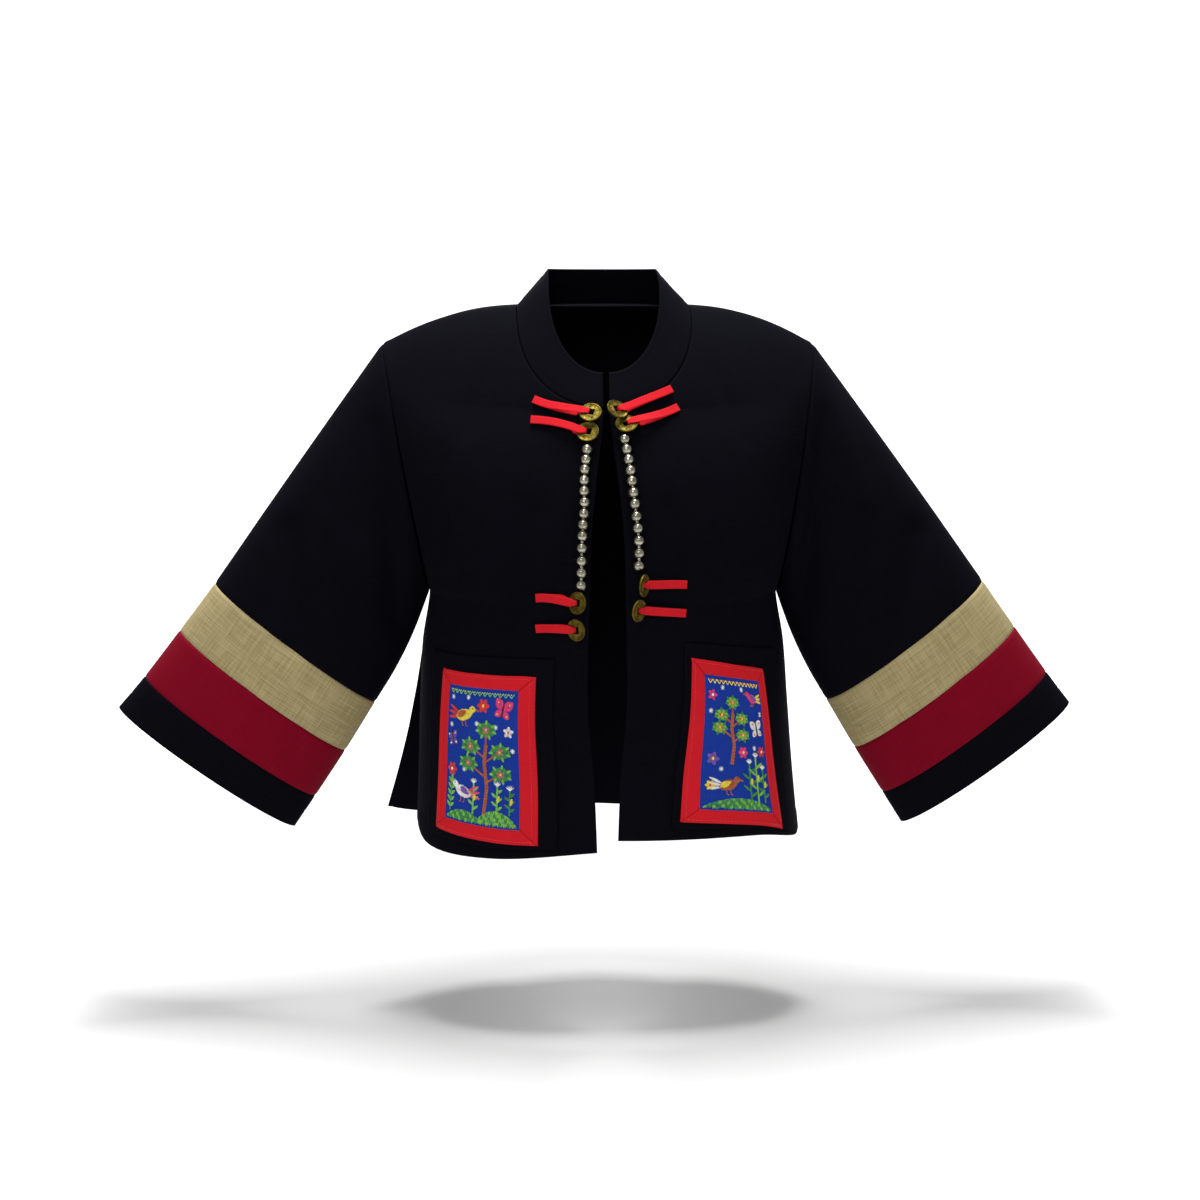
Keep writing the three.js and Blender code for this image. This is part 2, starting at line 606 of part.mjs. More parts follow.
// A folded strip: sewn down at its end, under the coin, through its hole and back on top.
function loopGeometry(loop) {
  const { side, sewn, seat, centre, across, face, down } = loopFrame(loop);
  const start = vec(...loop.end, 0);
  const stop = vec(...loop.coin, 0);
  const onCloth = (t, height) => {
    const at = start.clone().lerp(stop, t);
    return onFront(side, at.x, at.y - loop.sag * 4 * t * (1 - t), height);
  };
  const nearCoin = (back, out) =>
    centre.clone().addScaledVector(down, -back).addScaledVector(face, out);
  const length = seat.point.distanceTo(sewn.point);
  const tip = THREE.MathUtils.degToRad(loop.tip);
  const under = 1 - (COIN.radius + 4) / length;
  const over = 1 - ((COIN.hole + 4.5) * Math.cos(tip)) / length;
  const path = [];
  for (const t of evenly(0, 1, LOOP.steps - 1)) {
    path.push({ centre: onCloth(t * under, LOOP.low).point, width: LOOP.width });
  }
  path.push({ centre: nearCoin(COIN.radius + 1.4, -2), width: LOOP.width });
  path.push({ centre: nearCoin(COIN.hole + 4, -1.9), width: LOOP.width * 0.9 });
  path.push({ centre: nearCoin(COIN.hole - 0.6, -1.8), width: LOOP.throat });
  path.push({ centre: nearCoin(COIN.hole - 1.7, -0.9), width: LOOP.throat });
  path.push({ centre: nearCoin(COIN.hole - 1.7, 0.9), width: LOOP.throat });
  path.push({ centre: nearCoin(COIN.hole - 0.6, 1.8), width: LOOP.throat });
  const onTop = nearCoin(COIN.hole + 4.5, 2.1).sub(onCloth(over, LOOP.high).point);
  for (const t of evenly(1, 0, LOOP.steps + 1)) {
    const place = onCloth(t * over, LOOP.high).point;
    path.push({ centre: place.addScaledVector(onTop, smooth(0.05, 1, t)), width: LOOP.width });
  }
  const clothAcross = seat.normal.clone().cross(seat.point.clone().sub(sewn.point)).normalize();
  const sections = path.map((row, k) => {
    const before = path[Math.max(0, k - 1)].centre;
    const after = path[Math.min(path.length - 1, k + 1)].centre;
    const forward = after.clone().sub(before).normalize();
    const middle = Math.abs(k - (path.length - 1) / 2) / ((path.length - 1) / 2);
    const wide = across.clone().lerp(clothAcross, smooth(0.3, 0.9, middle));
    wide.addScaledVector(forward, -wide.dot(forward)).normalize();
    return { centre: row.centre, width: row.width, across: wide, up: forward.clone().cross(wide) };
  });
  return stripGeometry(sections);
}

function solidOf(geometry) {
  const bare = geometry.clone();
  bare.deleteAttribute('normal');
  bare.deleteAttribute('uv');
  const merged = mergeVertices(bare);
  const mesh = new wasm.Mesh({
    numProp: 3,
    vertProperties: new Float32Array(merged.attributes.position.array),
    triVerts: new Uint32Array(merged.index.array),
  });
  return new wasm.Manifold(mesh);
}

function geometryOf(solid) {
  const mesh = solid.getMesh();
  const geometry = new THREE.BufferGeometry();
  geometry.setAttribute('position', new THREE.BufferAttribute(mesh.vertProperties, 3));
  geometry.setIndex(new THREE.BufferAttribute(mesh.triVerts, 1));
  return geometry;
}

function strandGeometry(strand) {
  const side = SIDES.find((row) => row.name === strand.name);
  const route = new THREE.CatmullRomCurve3(strand.route.map(([x, z]) => vec(x, 0, z)));
  // The beads sit a little closer together near the top.
  const spread = (k) => k + (k * k) / BEAD.crowding;
  const centres = evenly(0, strand.count - 1, strand.count - 1).map((k) => {
    const p = route.getPointAt(spread(k) / spread(strand.count - 1));
    const place = onFront(side, p.x, p.z);
    return place.point.addScaledVector(place.normal, BEAD.lift);
  });
  let solid = null;
  centres.forEach((centre, k) => {
    const ball = new THREE.SphereGeometry(BEAD.radius, BEAD.across, BEAD.down);
    ball.rotateX(Math.PI / 2).rotateZ(k).translate(...centre.toArray());
    solid = solid ? solid.add(solidOf(ball)) : solidOf(ball);
    if (k === 0) return;
    const run = centre.clone().sub(centres[k - 1]);
    const thread = new THREE.CylinderGeometry(BEAD.thread, BEAD.thread, run.length(), 5);
    const turn = new THREE.Quaternion().setFromUnitVectors(vec(0, 1, 0), run.clone().normalize());
    thread.applyQuaternion(turn).translate(...centre.clone().lerp(centres[k - 1], 0.5).toArray());
    solid = solid.add(solidOf(thread));
  });
  return geometryOf(solid);
}

// ---------------------------------------------------------------- the jacket

const jacket = new THREE.Group();

function add(name, geometry, finish) {
  const mesh = new THREE.Mesh(geometry, new THREE.MeshStandardMaterial(FINISH[finish]));
  mesh.name = name;
  jacket.add(mesh);
  return mesh;
}

add('back_panel', wall(SIDES.map((side) => bodyGrid(side, BACK, BACK_COLUMNS))), 'black');
const collarGrids = SIDES.flatMap((side) => [FRONT, BACK].map((face) => collarGrid(side, face)));
add('collar', wall(collarGrids), 'black');

for (const side of SIDES) {
  add(`front_${side.name}`, wall([bodyGrid(side, FRONT, BODY_COLUMNS)]), 'black');
  add(`sleeve_${side.name}`, wall([sleeveGrid(side, evenly(0, 3, 8))]), 'black');
  add(`band_beige_${side.name}`, wall([sleeveGrid(side, evenly(3, 4, 2))]), 'beige');
  add(`band_crimson_${side.name}`, wall([sleeveGrid(side, evenly(4, 5, 2))]), 'crimson');
  add(`cuff_${side.name}`, wall([sleeveGrid(side, evenly(5, 6, 2))]), 'black');

  const pocketGrid = laidGrid(side, POCKETS[side.name], evenly(0, 1, 8), evenly(0, 1, 8));
  const pocketTop = POCKET_LIFT + POCKET_CLOTH;
  add(`pocket_${side.name}`, wall([pocketGrid], POCKET_CLOTH, pocketTop), 'black');
  const { across, down } = BORDER_SHARE;
  const groundColumns = evenly(across, 1 - across, 6);
  const groundRows = evenly(down, 1 - down, 6);
  const groundGrid = laidGrid(side, PANELS[side.name], groundColumns, groundRows);
  const groundTop = pocketTop + POCKET_LIFT + PANEL_CLOTH;
  add(`ground_${side.name}`, wall([groundGrid], PANEL_CLOTH, groundTop), 'blue');
  const borderTop = pocketTop + POCKET_LIFT + BORDER_CLOTH;
  for (const [place, grid] of Object.entries(borderGrids(side))) {
    add(`border_${place}_${side.name}`, wall([grid], BORDER_CLOTH, borderTop), 'red');
  }
}

for (const loop of LOOPS) {
  add(`loop_${loop.name}`, loopGeometry(loop), 'red');
  const { centre, across, face, down } = loopFrame(loop);
  const coin = add(`coin_${loop.name}`, coinGeometry(), 'brass');
  coin.position.copy(centre);
  coin.quaternion.setFromRotationMatrix(new THREE.Matrix4().makeBasis(down, across, face));
}

for (const strand of STRANDS) add(`beads_${strand.name}`, strandGeometry(strand), 'silver');

export default jacket;
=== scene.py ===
"""Looks of a cropped open-front jacket with banded sleeves, framed pocket panels, coins and beads."""
import logging
import math
import random
from dataclasses import dataclass, field
from enum import Enum
from functools import lru_cache
from typing import Callable, Optional, Sequence

import bmesh
import bpy
from mathutils import Matrix, Quaternion, Vector


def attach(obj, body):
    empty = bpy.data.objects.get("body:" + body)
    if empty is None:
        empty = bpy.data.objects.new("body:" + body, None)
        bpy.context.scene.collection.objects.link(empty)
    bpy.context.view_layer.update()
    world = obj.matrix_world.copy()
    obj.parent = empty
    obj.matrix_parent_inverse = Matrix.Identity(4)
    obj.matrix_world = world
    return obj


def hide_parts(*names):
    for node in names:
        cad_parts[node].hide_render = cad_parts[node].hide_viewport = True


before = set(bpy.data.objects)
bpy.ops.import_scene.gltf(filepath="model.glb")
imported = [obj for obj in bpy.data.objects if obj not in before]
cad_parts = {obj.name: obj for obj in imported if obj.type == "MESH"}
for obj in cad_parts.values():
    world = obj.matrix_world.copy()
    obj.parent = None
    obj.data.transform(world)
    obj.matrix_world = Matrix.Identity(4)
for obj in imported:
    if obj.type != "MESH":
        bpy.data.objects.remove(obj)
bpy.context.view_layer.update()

MM = 0.001
LOG = logging.getLogger("jacket")
Place = Callable[[float, float], Vector]


# ------------------------------------------------------------------ small mathematics

def clamp(x: float, low: float = 0.0, high: float = 1.0) -> float:
    """Keeps a number between two others."""
    return min(high, max(low, x))


def lerp(a: float, b: float, t: float) -> float:
    """Goes from a to b as t goes from 0 to 1."""
    return a + (b - a) * t


def smooth(start: float, stop: float, x: float) -> float:
    """Rises from 0 at start to 1 at stop with level ends."""
    t = clamp((x - start) / (stop - start))
    return t * t * (3 - 2 * t)


def bump(distance: float, width: float) -> float:
    """Gives a soft hump: 1 at no distance and near 0 beyond twice the width."""
    return math.exp(-((distance / width) ** 2))


@lru_cache(maxsize=None)
def curve(rows: tuple, key: str, column: str) -> tuple[list, list, list]:
    """Gives a table's keys, one column's values and the slopes at them."""
    keys = [getattr(row, key) for row in rows]
    values = [getattr(row, column) for row in rows]
    ends = [(max(0, i - 1), min(len(rows) - 1, i + 1)) for i in range(len(rows))]
    slopes = [(values[b] - values[a]) / (keys[b] - keys[a]) for a, b in ends]
    return keys, values, slopes


def along(rows: tuple, key: str, x: float, column: str) -> float:
    """Reads a smooth curve through one column of a table.

    Args:
        rows: the table, whose key column rises or falls steadily.
        key: the name of the key column.
        x: where to read it.
        column: the name of the column to read.

    Returns:
        The column's value at x.
    """
    keys, values, slopes = curve(rows, key, column)
    rising = 1 if keys[1] > keys[0] else -1
    i, last = 0, len(keys) - 2
    while i < last and rising * (x - keys[i + 1]) > 0:
        i += 1
    span = keys[i + 1] - keys[i]
    t = clamp((x - keys[i]) / span)
    t2, t3 = t * t, t * t * t
    return (values[i] * (2 * t3 - 3 * t2 + 1) + slopes[i] * span * (t3 - 2 * t2 + t)
            + values[i + 1] * (3 * t2 - 2 * t3) + slopes[i + 1] * span * (t3 - t2))


def bisect(test: Callable[[float], bool], low: float, high: float) -> float:
    """Finds where a test turns from true to false between low and high."""
    for _ in range(18):
        middle = (low + high) / 2
        low, high = (middle, high) if test(middle) else (low, middle)
    return (low + high) / 2


# ------------------------------------------------------------------ the jacket's form

@dataclass(frozen=True)
class Side:
    """One side of the jacket, as seen from the front."""

    name: str
    sign: int
    shoulder_out: float
    sleeve_reach: float
    hem_out: float
    flare_out: float
    flare_back: float


@dataclass(frozen=True)
class Face:
    """The front or the back of the body."""

    name: str
    sign: int
    neck_reach: float
    neck_drop: float
    arm_depth: float
    neck_end: float


@dataclass(frozen=True)
class BodySection:
    """A level section of the body."""

    z: float
    front: float
    back: float
    half: float
    gap: float


@dataclass(frozen=True)
class SleeveSection:
    """A section across the sleeve."""

    at: float
    out_x: float
    out_z: float
    in_x: float
    in_z: float
    front: float
    back: float


@dataclass(frozen=True)
class HemPoint:
    """The hem's height at a share of the way from the middle to the side."""

    s: float
    z: float


@dataclass(frozen=True)
class Fold:
    """A soft trough, or a ridge if its depth is below 0, along a line seen from the front."""

    face: str
    x0: float
    z0: float
    x1: float
    z1: float
    width: float
    depth: float


LEFT = Side("left", -1, 4, 1.012, -6, 34, 40)
RIGHT = Side("right", 1, -6, 0.988, 4, 0, 34)
SIDES = (LEFT, RIGHT)
FRONT = Face("front", -1, 98, 101, 66, 0.33)
BACK = Face("back", 1, 72, -3, 62, 0.2475)

BODY_SECTIONS = (
    BodySection(10, 40, 70, 179, 3),
    BodySection(-40, 70, 91, 179, 3),
    BodySection(-97, 98, 104, 179, 3),
    BodySection(-130, 113, 110, 179, 6),
    BodySection(-170, 126, 113, 179, 11),
    BodySection(-220, 133, 114, 179, 16),
    BodySection(-288, 132, 111, 179, 18),
    BodySection(-340, 129, 108, 187, 19),
    BodySection(-400, 128, 110, 191, 19),
    BodySection(-470, 130, 116, 195, 13),
    BodySection(-545, 134, 124, 200, 10),
)
SLEEVE_SECTIONS = (
    SleeveSection(0, 222, -35, 179, -288, 66, 62),
    SleeveSection(1, 281, -116, 196, -333, 63, 58),
    SleeveSection(2, 340, -198, 214, -370, 59, 54),
    SleeveSection(3, 398, -280, 235, -405, 55, 50),
    SleeveSection(4, 434, -329, 266, -456, 52, 47),
    SleeveSection(5, 470, -377, 297, -504, 49, 45),
    SleeveSection(6, 496, -409, 318, -536, 46, 43),
)
HEMS = {
    "front_left": (HemPoint(0, -538), HemPoint(0.35, -547), HemPoint(0.75, -543), HemPoint(1, -522)),
    "front_right": (HemPoint(0, -526), HemPoint(0.5, -529), HemPoint(0.85, -541), HemPoint(1, -537)),
    "back_left": (HemPoint(0, -541), HemPoint(0.5, -541), HemPoint(1, -524)),
    "back_right": (HemPoint(0, -541), HemPoint(0.5, -540), HemPoint(1, -522)),
}
FOLDS = (
    Fold("front", -223, -118, -212, -318, 13, 9),
    Fold("front", -258, -95, -250, -215, 16, 5),
    Fold("front", -318, -225, -312, -335, 17, 6),
    Fold("front", 214, -110, 206, -300, 14, 10),
    Fold("front", 222, -70, 262, -190, 15, -5),
    Fold("front", 318, -230, 300, -330, 18, 6),
    Fold("front", 60, -196, 64, -250, 15, 3),
    Fold("front", -74, -200, -82, -350, 16, 4),
    Fold("front", -150, -290, -128, -420, 20, -4),
    Fold("front", 152, -280, 132, -330, 18, -4),
    Fold("back", -222, -115, -208, -310, 15, 9),
    Fold("back", 222, -120, 210, -315, 15, 9),
    Fold("back", -305, -205, -290, -330, 18, 6),
    Fold("back", 300, -190, 296, -320, 18, 6),
    Fold("back", -70, -330, -84, -560, 22, 7),
    Fold("back", 58, -300, 72, -560, 24, 8),
    Fold("back", -10, -400, -6, -560, 18, -5),
    Fold("back", 118, -110, 92, -220, 20, 5),
    Fold("back", -112, -120, -94, -230, 20, 5),
    # Finer ones, under the arms, on the chest and down the sleeves.
    Fold("front", -196, -250, -150, -205, 7, 1.6),
    Fold("front", -190, -280, -132, -252, 8, 1.8),
    Fold("front", 186, -262, 148, -222, 7, 1.5),
    Fold("front", 180, -292, 120, -268, 8, 1.7),
    Fold("front", -118, -60, -140, -120, 10, 1.4),
    Fold("front", 108, -58, 138, -130, 9, 1.3),
    Fold("front", -30, -205, -40, -268, 8, 1.1),
    Fold("front", -285, -205, -300, -300, 8, -1.8),
    Fold("front", -345, -300, -372, -402, 10, 2.2),
    Fold("front", -300, -372, -322, -470, 8, 1.6),
    Fold("front", 262, -250, 270, -340, 9, 1.9),
    Fold("front", 352, -300, 372, -398, 10, 2),
    Fold("front", 300, -392, 318, -478, 8, 1.6),
    Fold("back", -190, -255, -130, -232, 8, 1.8),
    Fold("back", 188, -262, 126, -240, 8, 1.6),
    Fold("back", -350, -295, -368, -400, 10, 2.2),
    Fold("back", 345, -300, 366, -400, 10, 2),
    Fold("back", -30, -42, 26, -52, 9, 1.4),
    Fold("back", 30, -150, 44, -250, 12, 1.8),
)


FACE_FOLDS = {name: [fold for fold in FOLDS if fold.face == name] for name in ("front", "back")}


class Form:
    """The smooth surfaces that the cloth pieces lie on, in millimetres."""

    neck_half, neck_z, neck_square = 89.0, 4.0, 5.0
    collar_half, collar_z, collar_front, collar_back = 57.0, 36.0, 80.0, 59.0
    collar_drop, collar_rise = 98.0, 6.0
    arm_top_x, arm_top_z, arm_low_x, arm_low_z = 222.0, -35.0, 179.0, -288.0
    hem_z, slit_z, slit_gap = -535.0, -345.0, 13.0
    sleeve_clearance = 0.45

    def fold_depth(self, face: Face, x: float, z: float) -> float:
        """Adds up how far the folds push the cloth in at a place seen from the front."""
        depth = 0.0
        for fold in FACE_FOLDS[face.name]:
            reach = 3 * fold.width
            if not min(fold.x0, fold.x1) - reach < x < max(fold.x0, fold.x1) + reach:
                continue
            dx, dz = fold.x1 - fold.x0, fold.z1 - fold.z0
            t = clamp(((x - fold.x0) * dx + (z - fold.z0) * dz) / (dx * dx + dz * dz))
            off = math.hypot(x - fold.x0 - t * dx, z - fold.z0 - t * dz)
            if off < reach:
                depth += fold.depth * bump(off, fold.width)
        return depth

    def arm_z(self, v: float) -> float:
        """The armhole's height at a row."""
        return lerp(self.arm_low_z, self.arm_top_z, (1 + math.cos(math.pi * v)) / 2)

    def armhole(self, side: Side, face: Face, v: float) -> Vector:
        """A point of the armhole seam, from the shoulder (0) to the armpit (1)."""
        share = (1 + math.cos(math.pi * v)) / 2
        x = side.sign * lerp(self.arm_low_x, self.arm_top_x + side.shoulder_out, share)
        return Vector((x, face.sign * face.arm_depth * math.sin(math.pi * v), self.arm_z(v)))

    def neck(self, side: Side, face: Face, t: float) -> Vector:
        """A point of the collar's seam, from the shoulder (0) to the middle (1)."""
        u = math.sin(t * math.pi / 2)
        middle = 3.0 if face is FRONT else 0.0
        x = middle + (self.neck_half - middle) * math.sqrt(max(0.0, 1 - u ** self.neck_square))
        return Vector((side.sign * x, face.sign * face.neck_reach * u, self.neck_z - face.neck_drop * u * u))

    def collar_top(self, side: Side, face: Face, t: float) -> Vector:
        """A point of the collar's top edge, from the shoulder (0) to the middle (1)."""
        u = math.sin(t * math.pi / 2)
        middle = 3.0 if face is FRONT else 0.0
        x = middle + (self.collar_half - middle) * math.sqrt(max(0.0, 1 - u ** self.neck_square))
        reach = self.collar_front if face is FRONT else self.collar_back
        rise = -self.collar_drop * u * u if face is FRONT else self.collar_rise * smooth(0, 0.6, u)
        return Vector((side.sign * x, face.sign * reach * u, self.collar_z + rise))

    def row_z(self, face: Face, v: float) -> float:
        """The nominal height of a row at the middle of the front or back."""
        if v >= 1:
            return lerp(self.arm_low_z, self.hem_z, v - 1)
        if face is FRONT:
            return self.arm_z(v)
        return lerp(self.neck_z - face.neck_drop, self.arm_low_z, (v - face.neck_end) / (1 - face.neck_end))

    def body(self, side: Side, face: Face, s: float, v: float) -> Vector:
        """A point of a front or half of the back.

        Args:
            side: left or right.
            face: front or back.
            s: runs from the middle (0) to the armhole or side seam (1).
            v: runs from the shoulder seam (0) by the armpit (1) to the hem (2).

        Returns:
            The place of the cloth's outer face.
        """
        z = self.row_z(face, v)
        if v <= face.neck_end:
            start = self.neck(side, face, v / face.neck_end)
        else:
            gap = along(BODY_SECTIONS, "z", z, "gap") if face is FRONT else 0.0
            start = Vector((side.sign * gap, face.sign * along(BODY_SECTIONS, "z", z, face.name), z))
        if v <= 1:
            end = self.armhole(side, face, v)
        else:
            end = Vector((side.sign * along(BODY_SECTIONS, "z", z, "half"), 0, z))
        chord = end - start
        full = smooth(0, 0.45, v)
        depth = along(BODY_SECTIONS, "z", min(start.z, -40), face.name)
        turn = (math.pi / 2) * min(1.0, v) ** 0.8
        inward = Vector((side.sign * math.cos(turn), -face.sign * math.sin(turn), 0))
        inward *= depth * lerp(0.35, 0.62, min(1.0, v))
        first = start + (chord / 3).lerp(Vector((0.6 * end.x, 0, 0)), full)
        second = end - (chord / 3).lerp(inward, full)
        first.z, second.z = start.z, start.z + chord.z / 3
        r = 1 - s
        point = start * r ** 3 + first * (3 * r * r * s) + second * (3 * r * s * s) + end * s ** 3
        low = max(0.0, v - 1)
        hem = along(HEMS[f"{face.name}_{side.name}"], "s", s, "z")
        opened = clamp((self.slit_z - point.z) / (self.slit_z - self.hem_z)) ** 1.3
        point.z += (hem - self.hem_z) * low * low
        point.x += side.sign * side.hem_out * s * low * low
        if face is FRONT:
            point.y -= self.slit_gap * opened * s ** 6
        else:
            point.x += side.sign * side.flare_out * opened * s ** 4
            point.y += side.flare_back * opened * s ** 6
        fade = smooth(0, 0.12, v) * (1 - smooth(0.86, 1, s))
        point.y -= face.sign * self.fold_depth(face, point.x, point.z) * fade
        return point

    def sleeve(self, side: Side, at: float, turn: float) -> Vector:
        """A point of the sleeve; turn is 0 on its outer line and half a turn on its inner line."""
        share = (1 + math.cos(turn)) / 2
        reach = lerp(1, side.sleeve_reach, at / 6)
        out_x = along(SLEEVE_SECTIONS, "at", at, "out_x") + side.shoulder_out * clamp(1 - at / 3)
        in_x = along(SLEEVE_SECTIONS, "at", at, "in_x")
        x = side.sign * (lerp(in_x, out_x, share) * reach + self.sleeve_clearance)
        z = lerp(along(SLEEVE_SECTIONS, "at", at, "in_z"), along(SLEEVE_SECTIONS, "at", at, "out_z"), share)
        face = FRONT if turn >= 0 else BACK
        swell = abs(math.sin(turn))
        y = face.sign * along(SLEEVE_SECTIONS, "at", at, face.name) * swell
        fade = smooth(0, 0.5, at) * smooth(0, 0.6, swell)
        return Vector((x, y - face.sign * self.fold_depth(face, x, z) * fade, z))

    def collar(self, w: float, height: float) -> Vector:
        """A point of the collar; w runs round it from the left front (0) to the right front (4)."""
        quarter = min(3, int(w))
        side, face, t = (
            (LEFT, FRONT, 1 - w), (LEFT, BACK, w - 1), (RIGHT, BACK, 3 - w), (RIGHT, FRONT, w - 3),
        )[quarter]
        return self.neck(side, face, t).lerp(self.collar_top(side, face, t), height)

    def front_normal(self, side: Side, s: float, v: float) -> Vector:
        """The outward normal of a front."""
        step = 0.001
        a = self.body(side, FRONT, min(1, s + step), v) - self.body(side, FRONT, max(0, s - step), v)
        b = self.body(side, FRONT, s, min(2, v + step)) - self.body(side, FRONT, s, max(0, v - step))
        normal = a.cross(b).normalized()
        return -normal if normal.y > 0 else normal

    def seen(self, side: Side, x: float, z: float) -> tuple[float, float]:
        """Finds the (s, v) of the front that is seen at (x, z)."""
        def column(v: float) -> float:
            """The s that is seen at x in a row."""
            return bisect(lambda s: abs(self.body(side, FRONT, s, v).x) < abs(x), 0, 1)

        v = bisect(lambda row: self.body(side, FRONT, column(row), row).z > z, 0.02, 2)
        return column(v), v

    def on_front(self, side: Side, x: float, z: float, height: float = 0.0) -> tuple[Vector, Vector]:
        """The point of a front that is seen at (x, z), raised off the cloth, and its normal."""
        s, v = self.seen(side, x, z)
        normal = self.front_normal(side, s, v)
        return self.body(side, FRONT, s, v) + normal * height, normal


FORM = Form()


# ------------------------------------------------------------------ finishes

def linear(hex_colour: str) -> tuple[float, float, float, float]:
    """Turns an sRGB hex colour to linear RGBA."""
    parts = [int(hex_colour[i:i + 2], 16) / 255 for i in (1, 3, 5)]
    return tuple(c / 12.92 if c <= 0.04045 else ((c + 0.055) / 1.055) ** 2.4 for c in parts) + (1.0,)


def add_node(tree: bpy.types.NodeTree, kind: str, values: Optional[dict] = None,
             links: Optional[dict] = None, **settings: object) -> bpy.types.Node:
    """Adds a node.

    Args:
        tree: the node tree.
        kind: the node's type name, without its ShaderNode prefix.
        values: input name or number to value.
        links: input name or number to the output socket that feeds it.
        **settings: attributes of the node.

    Returns:
        The node.
    """
    node = tree.nodes.new("ShaderNode" + kind)
    for name, value in settings.items():
        setattr(node, name, value)
    for name, value in (values or {}).items():
        node.inputs[name].default_value = value
    for name, socket in (links or {}).items():
        tree.links.new(socket, node.inputs[name])
    return node


@dataclass(frozen=True)
class Cloth:
    """A woven cloth: two sets of threads that cross, with uneven thickness.

    Its UV map is in metres, so the thread sizes below are real ones. They are drawn coarser
    than the real 0.4 to 0.6 mm threads, so that the weave shows from a step away.
    """

    name: str
    colour: str
    dark: str
    warp_mm: float
    weft_mm: float
    slub: float
    roughness: float
    sheen: float
    relief_mm: float
    tint: str
    gloss: float = 0.1

    def build(self) -> bpy.types.Material:
        """Makes the material."""
        material = bpy.data.materials.new(self.name)
        material.use_nodes = True
        tree = material.node_tree
        tree.nodes.clear()
        uv = add_node(tree, "UVMap", uv_map="cut")
        threads = []
        for width, turn in ((self.warp_mm, 0), (self.weft_mm, 1)):
            across, run = 1 / (width * MM), 1 / (width * MM * 26)
            scale = (across, run, 1) if turn == 0 else (run, across, 1)
            spread = add_node(tree, "Mapping", {"Scale": scale}, {"Vector": uv.outputs[0]})
            threads.append(add_node(
                tree, "TexNoise", {"Scale": 1.0, "Detail": 2.0, "Roughness": 0.6},
                {"Vector": spread.outputs[0]}, noise_dimensions="2D").outputs["Fac"])
        crossed = add_node(tree, "Math", {}, {0: threads[0], 1: threads[1]}, operation="ADD")
        level = add_node(tree, "MapRange",
                         {"From Min": 1.0 - self.slub, "From Max": 1.0 + self.slub},
                         {"Value": crossed.outputs[0]})
        wear = add_node(tree, "TexCoord")
        cloud = add_node(tree, "TexNoise", {"Scale": 9.0, "Detail": 3.0}, {"Vector": wear.outputs["Object"]})
        soft = add_node(tree, "MapRange", {"From Min": 0.3, "From Max": 0.7, "To Min": -0.12, "To Max": 0.12},
                        {"Value": cloud.outputs["Fac"]})
        total = add_node(tree, "Math", {}, {0: level.outputs[0], 1: soft.outputs[0]}, operation="ADD")
        colour = add_node(tree, "Mix", {"A": linear(self.dark), "B": linear(self.colour)},
                          data_type="RGBA")
        tree.links.new(total.outputs[0], colour.inputs["Factor"])
        relief = add_node(tree, "Bump", {"Strength": 0.5, "Distance": self.relief_mm * MM},
                          {"Height": crossed.outputs[0]})
        shader = add_node(
            tree, "BsdfPrincipled",
            {"Roughness": self.roughness, "Sheen Weight": self.sheen, "Sheen Roughness": 0.5,
             "Sheen Tint": linear(self.tint), "Specular IOR Level": self.gloss},
            {"Base Color": colour.outputs["Result"], "Normal": relief.outputs["Normal"]})
        add_node(tree, "OutputMaterial", {}, {"Surface": shader.outputs[0]})
        return material


@dataclass(frozen=True)
class Thread:
    """Stranded embroidery thread, whose colour is in the stitches' own attribute."""

    name: str = "embroidery_thread"
    roughness: float = 0.5
    sheen: float = 0.3

    def build(self) -> bpy.types.Material:
        """Makes the material."""
        material = bpy.data.materials.new(self.name)
        material.use_nodes = True
        tree = material.node_tree
        tree.nodes.clear()
        dye = add_node(tree, "VertexColor", layer_name="dye")
        place = add_node(tree, "TexCoord")
        grain = add_node(tree, "TexNoise", {"Scale": 1 / (1.2 * MM), "Detail": 1.0},
                         {"Vector": place.outputs["Object"]})
        shade = add_node(tree, "MapRange", {"To Min": 0.72, "To Max": 1.2}, {"Value": grain.outputs["Fac"]})
        colour = add_node(tree, "Mix", {"Factor": 1.0, "A": (1, 1, 1, 1)}, {}, data_type="RGBA", blend_type="MULTIPLY")
        tree.links.new(dye.outputs["Color"], colour.inputs["A"])
        tree.links.new(shade.outputs[0], colour.inputs["B"])
        shader = add_node(tree, "BsdfPrincipled",
                          {"Roughness": self.roughness, "Sheen Weight": self.sheen, "Sheen Roughness": 0.4},
                          {"Base Color": colour.outputs["Result"]})
        add_node(tree, "OutputMaterial", {}, {"Surface": shader.outputs[0]})
        return material


